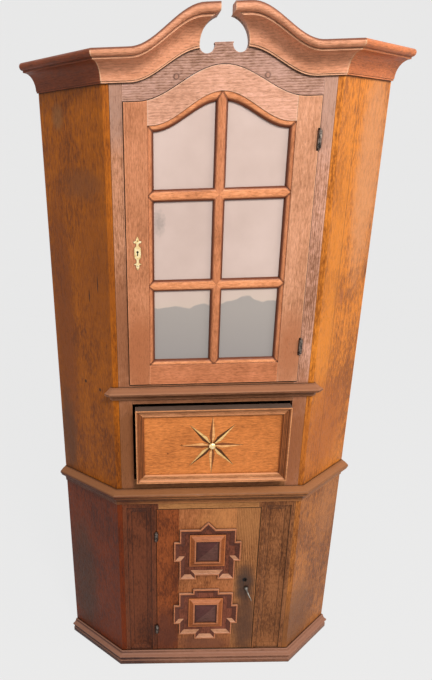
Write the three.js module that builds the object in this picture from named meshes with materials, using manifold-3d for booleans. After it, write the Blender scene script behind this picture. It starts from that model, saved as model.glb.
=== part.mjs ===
// A two-part corner cupboard in oak: a base with one panelled door, and an upper case with a drawer
// and an arched glazed door under a broken swan-neck cornice.
// Millimetres, +Z up. The pieces are drawn with the front in the plane y = 0, the centre line at x = 0
// and the room's corner behind, at +Y. The whole is then moved so that its box is centred on the origin.

import * as THREE from "three";
import { mergeVertices } from "three/addons/utils/BufferGeometryUtils.js";
import Module from "manifold-3d";

const wasm = await Module();
wasm.setup();

// Plan
const GAP = 0.3;
const FRONT_HALF = 320;
const RETURN_LENGTH = 274;
const SIDE_THICK = 18;
const BACK_THICK = 15;
const SHELF_THICK = 18;
const STRIP = 18;
const DIAGONAL = Math.SQRT1_2;
const MITRE = Math.tan(Math.PI / 8);
const WALL_SUM = FRONT_HALF + (2 * RETURN_LENGTH) * DIAGONAL;
const RETURN_END_X = FRONT_HALF + RETURN_LENGTH * DIAGONAL;
const RETURN_END_Y = RETURN_LENGTH * DIAGONAL;
const WALL_LENGTH = RETURN_END_X / DIAGONAL;

// Front frame of both cases
const FRAME_THICK = 30;
const STILE_OUTER = FRONT_HALF - STRIP - GAP;
const STOP_LIP = 8.5;
const BEHIND_FRAME = FRAME_THICK + GAP;
const SHELF_FRONT = 45;

// Base heights
const PLINTH_TOP = 54;
const PLINTH_REACH = 24.5;
const BASE_TOP = 765.7;
const BASE_RAIL_LOW = 692;
const BASE_OPENING_HALF = 185;
const BASE_FLOOR_LOW = 34;
const BASE_SHELF_LOW = 300;
const BASE_BOARD = 20;

// Lower door
const LEAF_HALF = 183;
const LEAF_THICK = 24;
const LEAF_LOW = 57;
const LEAF_HIGH = 690;

// Waist moulding
const WAIST_LOW = 716;
const WAIST_HEIGHT = 60;

// Upper case heights
const UPPER_LOW = 766;
const UPPER_FLOOR_TOP = 786;
const DRAWER_OPENING_TOP = 1088;
const MIDDLE_RAIL_TOP = 1152;
const GLAZED_FLOOR_LOW = 1112;
const TOP_BOARD_LOW = 1985;
const STILE_TOP = 2066;
const UPPER_OPENING_HALF = 267;
const DRAWER_OPENING_HALF = UPPER_OPENING_HALF - STOP_LIP;

// Cornice
const CORNICE_FOOT = 1997;
const CORNICE_HEIGHT = 74;
const CORNICE_REACH = 62;
const NECK_RISE = 72;
const NECK_GROWTH = 0.21;
const NECK_START = 245;
const NECK_END = 55;
const NECK_INNER = 18;
const OPENING_RADIUS = 64;
const OPENING_Z = 2077;
const NOTCH_RADIUS = 20.5;

// Glazed door
const DOOR_HALF = 265;
const DOOR_FACE = -4;
const DOOR_BACK = 20;
const DOOR_LOW = 1156;
const DOOR_SHOULDER = 1951.5;
const DOOR_RISE = 79.5;
const DOOR_STILE = 64;
const SIGHT_MOULD = 17;
const MOULD_RIDGE = -2.5;
const MOULD_EDGE = 6;
const REBATE_FACE = 8;
const REBATE_WIDE = 8;
const STILE_INNER = DOOR_HALF - DOOR_STILE;
const PANE_HALF = STILE_INNER - SIGHT_MOULD;
const PANE_LOW = 1236;
const PANE_SHOULDER = 1877;
const PANE_RISE = 71;
const BAR_HALF = SIGHT_MOULD;
const BAR_CENTRES = [1464.5, 1715.5];
const GLASS_THICK = 3;

// Drawer: its sizes are those of the shut drawer, which stands a little open at rest
const DRAWER_OPEN = 29;
const DRAWER_HALF = 250;
const DRAWER_LOW = 817;
const DRAWER_HIGH = 1080;
const DRAWER_PANEL_FACE = 0;
const DRAWER_FRONT_BACK = 26;
const DRAWER_FRAME_WIDE = 28;
const DRAWER_RUNNER_TOP = 812;
const DRAWER_BOX_HALF = 242;
const DRAWER_DEPTH = 385;
const DRAWER_SIDE_HIGH = 1040;
const DRAWER_WALL = 12;
const STAR_Z = 948.5;
const STAR_REACH = 103;
const STAR_WIDEST_AT = 33;
const STAR_RAY_HALF = 9;
const STAR_NOTCH = 6;
const STAR_DEEP = 1.2;

// Hinges: a pin on the case half, a sleeve on the door half
const BARREL_RADIUS = 6;
const PIN_RADIUS = 3;
const LEAF_PLATE = 2;
const HINGE_AXIS_Y = -6;
const UPPER_HINGE = { x: 266, barrel: 54, leaf: 26 };
const UPPER_HINGES = [1268, 1846.5];
const LOWER_HINGE = { x: 184, barrel: 42, leaf: 15 };
const LOWER_HINGES = [160, 580];

// Locks and the turn handle
const BOLT_Y = FRAME_THICK + 1;
const LOCK_DEEP = 17;
const LOCK_WIDE = 48;
const LOCK_TALL = 66;
const BOLT_THICK = 4;
const BOLT_TALL = 14;
const UPPER_KEY = { x: -233, z: 1563 };
const LOWER_KEY = { x: 144, z: 383 };
const HANDLE = { x: 148, z: 348 };

// Finishes, as seen on the piece
const oak = (color) => new THREE.MeshStandardMaterial({ color, roughness: 0.55, metalness: 0 });
const FINISH = {
  greyOak: oak(0xa5806c),
  doorOak: oak(0xc4845e),
  barOak: oak(0xbe734e),
  sideOak: oak(0x96603a),
  baseOak: oak(0x85532f),
  mouldOak: oak(0x8c583e),
  drawerOak: oak(0xcd8048),
  innerOak: oak(0x9a7a58),
  blockOak: oak(0x7d4a30),
  starWood: oak(0xd9a066),
  glass: new THREE.MeshStandardMaterial({ color: 0xd0c0ba, roughness: 0.05, metalness: 0 }),
  brass: new THREE.MeshStandardMaterial({ color: 0xe1be6e, roughness: 0.3, metalness: 1 }),
  iron: new THREE.MeshStandardMaterial({ color: 0x2b2725, roughness: 0.5, metalness: 1 }),
};

const group = new THREE.Group();

function piece(name, geometry, finish) {
  const plain = geometry.index ? geometry.toNonIndexed() : geometry;
  plain.computeVertexNormals();
  const mesh = new THREE.Mesh(plain, finish);
  mesh.name = name;
  group.add(mesh);
  return mesh;
}

// Two pieces that mirror each other; the geometry is the one on the right.
function pair(name, geometry, finish) {
  piece(`${name}_right`, geometry, finish);
  piece(`${name}_left`, geometry.clone(), finish).scale.x = -1;
}

// Cutting and joining closed meshes
function solidOf(geometry) {
  const bare = new THREE.BufferGeometry();
  bare.setAttribute("position", geometry.getAttribute("position"));
  bare.setIndex(geometry.index);
  const merged = mergeVertices(bare, 1e-4);
  const vertProperties = merged.attributes.position.array;
  const triVerts = new Uint32Array(merged.index.array);
  return new wasm.Manifold(new wasm.Mesh({ numProp: 3, vertProperties, triVerts }));
}

function geometryOf(solid) {
  const mesh = solid.getMesh();
  const geometry = new THREE.BufferGeometry();
  geometry.setAttribute("position", new THREE.BufferAttribute(mesh.vertProperties, 3));
  geometry.setIndex(new THREE.BufferAttribute(mesh.triVerts, 1));
  return geometry;
}

function cut(geometry, ...tools) {
  return geometryOf(tools.reduce((solid, tool) => solid.subtract(solidOf(tool)), solidOf(geometry)));
}

function join(geometry, ...others) {
  return geometryOf(others.reduce((solid, other) => solid.add(solidOf(other)), solidOf(geometry)));
}

function common(a, b) {
  return geometryOf(solidOf(a).intersect(solidOf(b)));
}

// Basic forms
const at = (x, y) => new THREE.Vector2(x, y);

function box(x, y, z) {
  const geometry = new THREE.BoxGeometry(x[1] - x[0], y[1] - y[0], z[1] - z[0]);
  return geometry.translate((x[0] + x[1]) / 2, (y[0] + y[1]) / 2, (z[0] + z[1]) / 2);
}

function extruded(points, depth) {
  const shape = points instanceof THREE.Shape ? points : new THREE.Shape(points);
  return new THREE.ExtrudeGeometry(shape, { depth, bevelEnabled: false });
}

// An outline in x and z, standing between two planes parallel to the front.
function frontBoard(points, yFront, yBack) {
  return extruded(points, yBack - yFront).rotateX(Math.PI / 2).translate(0, yBack, 0);
}

// An outline in plan, between two heights.
function planBoard(points, zLow, zHigh) {
  return extruded(points, zHigh - zLow).translate(0, 0, zLow);
}

// A section in y and z, drawn out along x.
function rail(points, xLeft, xRight) {
  const geometry = extruded(points, xRight - xLeft);
  const turn = new THREE.Matrix4();
  turn.makeBasis(new THREE.Vector3(0, 1, 0), new THREE.Vector3(0, 0, 1), new THREE.Vector3(1, 0, 0));
  return geometry.applyMatrix4(turn).translate(xLeft, 0, 0);
}

// A round bar or disc whose axis runs from front to back.
function roundBar(radius, x, z, yFront, yBack, sides = 24) {
  const geometry = new THREE.CylinderGeometry(radius, radius, yBack - yFront, sides);
  return geometry.translate(x, (yFront + yBack) / 2, z);
}

// A round bar whose axis is upright.
function uprightBar(radius, x, y, zLow, zHigh) {
  const bar = new THREE.CylinderGeometry(radius, radius, zHigh - zLow, 12).rotateX(Math.PI / 2);
  return bar.translate(x, y, (zLow + zHigh) / 2);
}

function arc(cx, cy, rx, ry, fromDegrees, toDegrees, steps) {
  const points = [];
  for (let i = 0; i <= steps; i += 1) {
    const angle = THREE.MathUtils.degToRad(fromDegrees + ((toDegrees - fromDegrees) * i) / steps);
    points.push(at(cx + rx * Math.cos(angle), cy + ry * Math.sin(angle)));
  }
  return points;
}

// The closed surface through a row of rings, each holding the same profile.
function loft(rings, profile, closed = false) {
  const count = profile.length;
  const spans = closed ? rings.length : rings.length - 1;
  const faces = [];
  for (let r = 0; r < spans; r += 1) {
    const near = r * count;
    const far = ((r + 1) % rings.length) * count;
    for (let i = 0; i < count; i += 1) {
      const next = (i + 1) % count;
      faces.push([near + i, near + next, far + next], [near + i, far + next, far + i]);
    }
  }
  if (!closed) {
    const last = (rings.length - 1) * count;
    const clockwise = THREE.ShapeUtils.isClockWise(profile);
    for (const [a, p, q] of THREE.ShapeUtils.triangulateShape(profile, [])) {
      const [b, c] = clockwise ? [q, p] : [p, q];
      faces.push([a, c, b], [last + a, last + b, last + c]);
    }
  }
  return facingOut(rings.flat(), faces);
}

function facingOut(points, faces) {
  const volume = faces.reduce((sum, [a, b, c]) => {
    const normal = new THREE.Vector3().crossVectors(points[b], points[c]);
    return sum + points[a].dot(normal);
  }, 0);
  const order = volume > 0 ? faces : faces.map(([a, b, c]) => [a, c, b]);
  const geometry = new THREE.BufferGeometry().setFromPoints(points);
  return geometry.setIndex(order.flat());
}

// A moulding that runs round corners in plan. The profile holds (outwards, upwards) points.
function moulding(path, profile, zFoot) {
  const normals = path.slice(1).map((point, i) => {
    const way = point.clone().sub(path[i]).normalize();
    return at(way.y, -way.x);
  });
  const rings = path.map((point, i) => {
    const before = normals[Math.max(i - 1, 0)];
    const after = normals[Math.min(i, normals.length - 1)];
    const corner = before.clone().add(after).divideScalar(1 + before.dot(after));
    const out = (p) => point.clone().addScaledVector(corner, p.x);
    return profile.map((p) => new THREE.Vector3(out(p).x, out(p).y, zFoot + p.y));
  });
  return loft(rings, profile);
}

// An applied frame that follows a closed outline on the front, anticlockwise as seen from the front.
// The profile holds (inwards, forwards) points.
function appliedFrame(corners, profile, face) {
  const count = corners.length;
  const rings = corners.map((point, i) => {
    const before = point.clone().sub(corners[(i + count - 1) % count]).normalize();
    const after = corners[(i + 1) % count].clone().sub(point).normalize();
    const inBefore = at(-before.y, before.x);
    const inAfter = at(-after.y, after.x);
    const corner = inBefore.clone().add(inAfter).divideScalar(1 + inBefore.dot(inAfter));
    const inside = (p) => point.clone().addScaledVector(corner, p.x);
    return profile.map((p) => new THREE.Vector3(inside(p).x, face - p.y, inside(p).y));
  });
  return loft(rings, profile, true);
}

// A block or hollow with four sloping sides: each step is [inset in x, inset in z, y].
function hipped(halfX, halfZ, x, z, steps) {
  const square = [at(-1, -1), at(1, -1), at(1, 1), at(-1, 1)];
  const rings = steps.map(([insetX, insetZ, y]) =>
    square.map((s) => new THREE.Vector3(x + s.x * (halfX - insetX), y, z + s.y * (halfZ - insetZ))),
  );
  return loft(rings, square);
}

// A smooth rise from 0 to 1 as x goes from one distance off the centre line to a nearer one.
function swell(x, from, to) {
  const t = THREE.MathUtils.clamp((from - Math.abs(x)) / (from - to), 0, 1);
  return (1 - Math.cos(Math.PI * t)) / 2;
}

function spread(from, to, steps) {
  return Array.from({ length: steps + 1 }, (_, i) => from + ((to - from) * i) / steps);
}

const ordered = (a, b) => (a < b ? [a, b] : [b, a]);

// An outline from its right half; points on the centre line are kept once.
function bothSides(right) {
  const left = right.filter((p) => p.x !== 0).map((p) => at(-p.x, p.y));
  return [...right, ...left.reverse()];
}

// A cross-section of points (y, z) at one x.
const slice = (x, points) => points.map((p) => new THREE.Vector3(x, p.x, p.y));

// Plan of the carcass
const onReturn = (along, inward) => at(FRONT_HALF + DIAGONAL * (along - inward), DIAGONAL * (along + inward));
const onWall = (along, inward) =>
  at(RETURN_END_X - DIAGONAL * (along + inward), RETURN_END_Y + DIAGONAL * (along - inward));
const FRONT_AND_RETURNS = [
  at(-RETURN_END_X, RETURN_END_Y),
  at(-FRONT_HALF, 0),
  at(FRONT_HALF, 0),
  at(RETURN_END_X, RETURN_END_Y),
];

function sideBoards(name, zLow, zHigh, finish) {
  const stripX = FRONT_HALF - STRIP;
  const stripDeep = SIDE_THICK / DIAGONAL - STRIP;
  const plan = [
    onReturn(0, 0),
    onReturn(RETURN_LENGTH, 0),
    onReturn(RETURN_LENGTH, SIDE_THICK),
    at(stripX, stripDeep),
    at(stripX, 0),
  ];
  pair(name, planBoard(plan, zLow, zHigh), finish);
}

// The right-hand back runs into the room's corner and the left-hand one stops against it.
function backBoards(name, zLow, zHigh) {
  const start = SIDE_THICK + GAP;
  for (const [side, end] of [["right", WALL_LENGTH], ["left", WALL_LENGTH - BACK_THICK - GAP]]) {
    const plan = [onWall(start, 0), onWall(end, 0), onWall(end, BACK_THICK), onWall(start, BACK_THICK)];
    const mesh = piece(`${name}_${side}`, planBoard(plan, zLow, zHigh), FINISH.innerOak);
    mesh.scale.x = side === "left" ? -1 : 1;
  }
}

// A board that fills the carcass behind the line y = yFront, with a tongue forward between the stiles.
function insideBoard(yFront, zLow, zHigh, tongueHalf = 0) {
  const cantedLine = FRONT_HALF - (SIDE_THICK + GAP) / DIAGONAL;
  const backLine = WALL_SUM - (BACK_THICK + GAP) / DIAGONAL;
  const widestY = (backLine - cantedLine) / 2;
  const tongue = tongueHalf ? [at(tongueHalf, 0), at(tongueHalf, yFront)] : [];
  const front = at(cantedLine + yFront, yFront);
  const widest = at(cantedLine + widestY, widestY);
  return planBoard(bothSides([...tongue, front, widest, at(0, backLine)]), zLow, zHigh);
}

function innerBoard(name, yFront, [zLow, zHigh], tongueHalf) {
  piece(name, insideBoard(yFront, zLow, zHigh, tongueHalf), FINISH.innerOak);
}

// Base
const LIP_INNER = BASE_OPENING_HALF - STOP_LIP;
const LEAF_STOP = LEAF_THICK + 0.5;
const DOOR_STOP = DOOR_BACK + 2.3;

function pilaster() {
  const board = box([LIP_INNER, STILE_OUTER], [0, FRAME_THICK], [0, BASE_TOP]);
  const doorway = [PLINTH_TOP + GAP, BASE_RAIL_LOW - GAP];
  const rebate = box([LIP_INNER - 1, BASE_OPENING_HALF], [-1, LEAF_STOP], doorway);
  const panelX = 244.5;
  const panelZ = 378;
  const panelEdge = 3.5;
  const panelDeep = 10;
  const panel = hipped(43, 320, panelX, panelZ, [[0, 0, -1], [0, 0, panelEdge], [17, 21, panelDeep]]);
  return cut(board, rebate, panel);
}

function baseCase() {
  const floorTongue = LIP_INNER - GAP;
  innerBoard("base_floor", BEHIND_FRAME, [BASE_FLOOR_LOW, PLINTH_TOP], floorTongue);
  innerBoard("base_shelf", SHELF_FRONT, [BASE_SHELF_LOW, BASE_SHELF_LOW + SHELF_THICK]);
  innerBoard("base_top_board", BEHIND_FRAME, [BASE_TOP - BASE_BOARD, BASE_TOP]);
  const railSection = [
    at(0, BASE_RAIL_LOW),
    at(LEAF_STOP, BASE_RAIL_LOW),
    at(LEAF_STOP, BASE_RAIL_LOW - STOP_LIP),
    at(FRAME_THICK, BASE_RAIL_LOW - STOP_LIP),
    at(FRAME_THICK, BASE_TOP),
    at(0, BASE_TOP),
  ];
  piece("base_top_rail", rail(railSection, -floorTongue, floorTongue), FINISH.baseOak);
  const board = pilaster();
  piece("base_pilaster_right", board, FINISH.baseOak);
  piece("base_pilaster_left", cut(board, ...lowerPockets("case")), FINISH.baseOak).scale.x = -1;
  sideBoards("base_side", 0, BASE_TOP, FINISH.baseOak);
  backBoards("base_back", 0, BASE_TOP);
}

function plinthAndWaist() {
  const foot = PLINTH_REACH - 4;
  const noseTop = 38;
  const plinth = [
    at(GAP, 0),
    at(foot, 0),
    at(foot, 17),
    at(foot - 3.5, 20),
    at(foot - 2.5, 31),
    at(PLINTH_REACH, noseTop - 4),
    at(PLINTH_REACH, noseTop),
    ...arc(PLINTH_REACH - 3, PLINTH_TOP - 2, 14, 12.5, 270, 180, 5),
    at(5, PLINTH_TOP),
    at(GAP, PLINTH_TOP),
  ];
  piece("plinth", moulding(FRONT_AND_RETURNS, plinth, 0), FINISH.mouldOak);
  const waist = [
    at(GAP, 0),
    at(4, 0),
    ...arc(22, 4, 18, 26, 180, 90, 5),
    at(24, 30),
    ...arc(19, 41.5, 9, 8, -60, 60, 5),
    at(14, 54.5),
    at(4, 58),
    at(4, WAIST_HEIGHT),
    at(GAP, WAIST_HEIGHT),
  ];
  piece("waist_moulding", moulding(FRONT_AND_RETURNS, waist, WAIST_LOW), FINISH.mouldOak);
}

// Lower door: a board leaf with two applied, stepped frames, each round a raised block.
const FRAME_STRIP = [
  at(0, -0.5),
  at(0, 8),
  at(4.5, 8),
  at(7, 5.5),
  at(18.5, 1.2),
  at(18.5, -0.5),
];

const UPPER_FRAME = [
  at(40, 411),
  at(40, 393),
  at(100, 393),
  at(100, 473),
  at(120, 473),
  at(120, 554),
  at(100, 554),
  at(100, 606),
  at(28, 606),
  at(0, 636),
];

const LOWER_FRAME = [
  at(40, 112),
  at(40, 134),
  at(100, 134),
  at(100, 186),
  at(120, 186),
  at(120, 271),
  at(100, 271),
  at(100, 327),
  at(48, 327),
  at(48, 345),
];

function doorLeaf() {
  const leaf = box([-LEAF_HALF, LEAF_HALF], [0, LEAF_THICK], [LEAF_LOW, LEAF_HIGH]);
  const upperFrame = appliedFrame(bothSides(UPPER_FRAME), FRAME_STRIP, 0);
  const lowerFrame = appliedFrame(bothSides(LOWER_FRAME), FRAME_STRIP, 0);
  const framed = join(leaf, upperFrame, lowerFrame);
  const leftPockets = lowerPockets("door").map(turnedOver);
  const spindleHole = roundBar(4.5, HANDLE.x, HANDLE.z, -1, LEAF_THICK + 1, 16);
  const keyhole = frontBoard(keyholeShape(LOWER_KEY.x, LOWER_KEY.z), -1, LEAF_THICK + 1);
  return cut(framed, ...leftPockets, spindleHole, keyhole);
}

// The mirror image of a geometry, with its faces still pointing out.
function turnedOver(geometry) {
  const bare = geometry.index ? geometry.toNonIndexed() : geometry.clone();
  const points = bare.getAttribute("position");
  const corner = new THREE.Vector3();
  const flipped = [];
  for (let i = 0; i < points.count; i += 3) {
    for (const j of [i, i + 2, i + 1]) {
      corner.fromBufferAttribute(points, j);
      flipped.push(new THREE.Vector3(-corner.x, corner.y, corner.z));
    }
  }
  return new THREE.BufferGeometry().setFromPoints(flipped);
}

function raisedBlock(zCentre) {
  const halfX = 64;
  const halfZ = 67;
  const steps = [
    [0, 0, -GAP],
    [0, 0, -3.5],
    [4, 4, -4],
    [16, 17, -10],
    [16.5, 17.5, -12],
    [22, 23, -12.5],
    [23, 24, -7],
    [halfX - 0.5, halfZ - 0.5, -11.5],
  ];
  return hipped(halfX, halfZ, 0, zCentre, steps);
}

function lowerDoor() {
  piece("panel_door", doorLeaf(), FINISH.baseOak);
  piece("raised_block_upper", raisedBlock(515.5), FINISH.blockOak);
  piece("raised_block_lower", raisedBlock(234.5), FINISH.blockOak);
}

// Locks: a case on the back of the door, and a bolt that slides out behind the frame's lip.
function keyholeShape(x, z) {
  const eye = 3.4;
  const slot = 1.5;
  const start = -90 + THREE.MathUtils.radToDeg(Math.asin(slot / eye));
  const round = arc(x, z, eye, eye, start, 180 - start, 12);
  return new THREE.Shape([...round, at(x - slot, z - 11), at(x + slot, z - 11)]);
}

function lockCase(key, outerX, doorBack, zLow, zHigh) {
  const side = Math.sign(outerX);
  const front = doorBack + GAP;
  const body = box(ordered(outerX, outerX - side * LOCK_WIDE), [front, front + LOCK_DEEP], [zLow, zHigh]);
  const slotX = ordered(outerX + side, outerX - side * (LOCK_WIDE - 9));
  const slotHalf = BOLT_TALL / 2 + GAP;
  const slot = box(slotX, [BOLT_Y - GAP, BOLT_Y + BOLT_THICK + GAP], [key.z - slotHalf, key.z + slotHalf]);
  const keyWay = frontBoard(keyholeShape(key.x, key.z), doorBack - 1, BOLT_Y);
  return cut(body, slot, keyWay);
}

function lockBolt(key, outerX) {
  const side = Math.sign(outerX);
  const low = key.z - BOLT_TALL / 2;
  const xs = ordered(outerX, outerX - side * (LOCK_WIDE - 9.5));
  const plate = box(xs, [BOLT_Y, BOLT_Y + BOLT_THICK], [low, low + BOLT_TALL]);
  const talon = roundBar(4, outerX - side * 26, low, BOLT_Y - 1, BOLT_Y + BOLT_THICK + 1, 12);
  return cut(plate, talon);
}

function locks() {
  const upperX = -(DOOR_HALF - 11.5);
  const lowerX = LEAF_HALF - 9.5;
  const upperLow = UPPER_KEY.z - LOCK_TALL / 2;
  const lowerLow = HANDLE.z + 12;
  const lowerHigh = lowerLow + 52;
  const upper = lockCase(UPPER_KEY, upperX, DOOR_BACK, upperLow, upperLow + LOCK_TALL);
  piece("upper_lock_case", upper, FINISH.iron);
  piece("upper_lock_bolt", lockBolt(UPPER_KEY, upperX), FINISH.iron);
  piece("lower_lock_case", lockCase(LOWER_KEY, lowerX, LEAF_THICK, lowerLow, lowerHigh), FINISH.iron);
  piece("lower_lock_bolt", lockBolt(LOWER_KEY, lowerX), FINISH.iron);
}

// A rat-tail lever on a spindle through the lower door, with a finger that turns behind the pilaster.
function turnHandle() {
  const bulb = [at(0, 0), at(6, 0), at(7, 3), at(6.5, 8), at(4, 12), at(0, 13)];
  const boss = turned(bulb, 12).rotateX(Math.PI).translate(HANDLE.x, -GAP, HANDLE.z);
  const spindle = roundBar(4, HANDLE.x, HANDLE.z, -2, FRAME_THICK + 5, 12);
  const path = new THREE.CatmullRomCurve3([
    new THREE.Vector3(HANDLE.x, -8, HANDLE.z),
    new THREE.Vector3(HANDLE.x + 3, -13, HANDLE.z - 10),
    new THREE.Vector3(HANDLE.x + 9, -22, HANDLE.z - 23),
    new THREE.Vector3(HANDLE.x + 16, -36, HANDLE.z - 35),
  ]);
  const circle = arc(0, 0, 1, 1, 0, 315, 7);
  const down = new THREE.Vector3(0, 0, -1);
  const rings = spread(0, 1, 7).map((t) => {
    const centre = path.getPoint(t);
    const radius = 4.2 - 2.7 * t;
    const turn = new THREE.Quaternion().setFromUnitVectors(down, path.getTangent(t));
    const onCircle = (p) => new THREE.Vector3(p.x * radius, p.y * radius, 0).applyQuaternion(turn);
    return circle.map((p) => onCircle(p).add(centre));
  });
  const lever = loft(rings, circle);
  const fingerY = FRAME_THICK + 1.3;
  const finger = box([HANDLE.x - 6, HANDLE.x + 6], [fingerY, fingerY + 4], [HANDLE.z - 34, HANDLE.z + 6]);
  return join(spindle, boss, lever, finger);
}

// A turned solid about the y axis: a lathe's surface with its seam and its points on the axis merged.
function turned(profile, sides) {
  const geometry = new THREE.LatheGeometry(profile, sides);
  const bare = new THREE.BufferGeometry();
  bare.setAttribute("position", geometry.getAttribute("position"));
  bare.setIndex(geometry.index);
  const merged = mergeVertices(bare, 1e-4);
  const points = [];
  const positions = merged.getAttribute("position");
  for (let i = 0; i < positions.count; i += 1) {
    points.push(new THREE.Vector3().fromBufferAttribute(positions, i));
  }
  const faces = [];
  for (let i = 0; i < merged.index.count; i += 3) {
    const [a, b, c] = [0, 1, 2].map((j) => merged.index.getX(i + j));
    if (a !== b && b !== c && c !== a) {
      faces.push([a, b, c]);
    }
  }
  return facingOut(points, faces);
}

// Hinges, drawn for a door hung on its right, about an upright axis in front of the gap beside the
// door. Each half has half of the barrel, a web back from it, and a leaf let into a slot in the wood.
// The case half carries the pin and the door half turns on it.
const LEAF_Y = [5, 5 + LEAF_PLATE];
const WEB_Y = [-3, LEAF_Y[1]];
const WEB = 2.4;
const SLEEVE_RADIUS = PIN_RADIUS + GAP + 0.1;

function caseBarrel(half) {
  const foot = [at(0, -half), at(2, -half + 0.6), at(3, -half + 2), at(2.2, -half + 3.6)];
  const knuckle = [at(BARREL_RADIUS, -half + 5), at(BARREL_RADIUS, -0.2), at(PIN_RADIUS, -0.2)];
  return [...foot, ...knuckle, at(PIN_RADIUS, half - 10), at(0, half - 10)];
}

function doorBarrel(half) {
  const sleeve = [at(0, half - 9), at(SLEEVE_RADIUS, half - 9), at(SLEEVE_RADIUS, 0.2)];
  const knuckle = [at(BARREL_RADIUS, 0.2), at(BARREL_RADIUS, half - 5)];
  return [...sleeve, ...knuckle, at(2.2, half - 3.6), at(3, half - 2), at(2, half - 0.6), at(0, half)];
}

function hingeHalf(part, { x, barrel, leaf }, zCentre) {
  const half = barrel / 2;
  const onCase = part === "case";
  const side = onCase ? 1 : -1;
  const turning = turned(onCase ? caseBarrel(half) : doorBarrel(half), 12);
  turning.rotateX(Math.PI / 2).translate(x, HINGE_AXIS_Y, zCentre);
  const zs = (onCase ? [-half + 6, -1] : [1, half - 6]).map((z) => zCentre + z);
  const web = box(ordered(x - side * 0.6, x + side * WEB), WEB_Y, zs);
  const plate = box(ordered(x - side * 0.6, x + side * leaf), LEAF_Y, zs);
  const whole = join(turning, web, plate);
  return onCase ? whole : cut(whole, uprightBar(SLEEVE_RADIUS, x, HINGE_AXIS_Y, zCentre, zCentre + half - 9));
}

// What is cut out of a stile or a door edge for a hinge.
function hingePockets(part, { x, barrel, leaf }, zCentre) {
  const half = barrel / 2;
  const side = part === "case" ? 1 : -1;
  const slack = GAP + 0.1;
  const zs = (part === "case" ? [-half + 5.5, -0.6] : [0.6, half - 5.5]).map((z) => zCentre + z);
  const barrelEnds = [zCentre - half - 0.5, zCentre + half + 0.5];
  return [
    uprightBar(BARREL_RADIUS + 0.6, x, HINGE_AXIS_Y, ...barrelEnds),
    box(ordered(x - side, x + side * (WEB + slack)), [-5, WEB_Y[1] + slack], zs),
    box(ordered(x - side, x + side * (leaf + slack)), [LEAF_Y[0] - slack, LEAF_Y[1] + slack], zs),
  ];
}

const upperPockets = (part) => UPPER_HINGES.flatMap((z) => hingePockets(part, UPPER_HINGE, z));
const lowerPockets = (part) => LOWER_HINGES.flatMap((z) => hingePockets(part, LOWER_HINGE, z));

function hinges() {
  for (const part of ["case", "door"]) {
    UPPER_HINGES.forEach((z, i) => {
      piece(`upper_hinge_${i + 1}_${part}`, hingeHalf(part, UPPER_HINGE, z), FINISH.iron);
    });
    LOWER_HINGES.forEach((z, i) => {
      piece(`lower_hinge_${i + 1}_${part}`, hingeHalf(part, LOWER_HINGE, z), FINISH.iron).scale.x = -1;
    });
  }
}

// Upper case
function upperStile() {
  const board = box([DRAWER_OPENING_HALF, STILE_OUTER], [0, FRAME_THICK], [UPPER_LOW, STILE_TOP]);
  const doorway = [MIDDLE_RAIL_TOP, STILE_TOP + 1];
  return cut(board, box([DRAWER_OPENING_HALF - 1, UPPER_OPENING_HALF], [-1, DOOR_STOP], doorway));
}

const neckFoot = (x) => CORNICE_FOOT + NECK_RISE * swell(x, NECK_START, NECK_END);
const doorTop = (x) => DOOR_SHOULDER + DOOR_RISE * swell(x, 225, 0);

// The frieze follows the door's arch below and the swan necks above, with the opening between them.
function frieze() {
  const half = UPPER_OPENING_HALF - GAP;
  const backing = 70;
  const doorGap = 2;
  const bottom = spread(0, half, 14).map((x) => at(x, doorTop(x) + doorGap));
  const top = spread(half, NECK_INNER, 14).map((x) => at(x, neckFoot(x) + backing));
  const opening = THREE.MathUtils.radToDeg(Math.acos(NECK_INNER / OPENING_RADIUS));
  const right = [
    ...bottom.slice(1),
    ...top,
    ...arc(0, OPENING_Z, OPENING_RADIUS, OPENING_RADIUS, opening, 0, 8),
    ...arc(OPENING_RADIUS - NOTCH_RADIUS, OPENING_Z, NOTCH_RADIUS, NOTCH_RADIUS, -20, -180, 9),
    at(24.5, OPENING_Z + 1),
    at(24.5, OPENING_Z + 4),
  ];
  const left = right.map((p) => at(-p.x, p.y)).reverse();
  return frontBoard([bottom[0], ...right, ...left], 0, DOOR_STOP - GAP);
}

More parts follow.
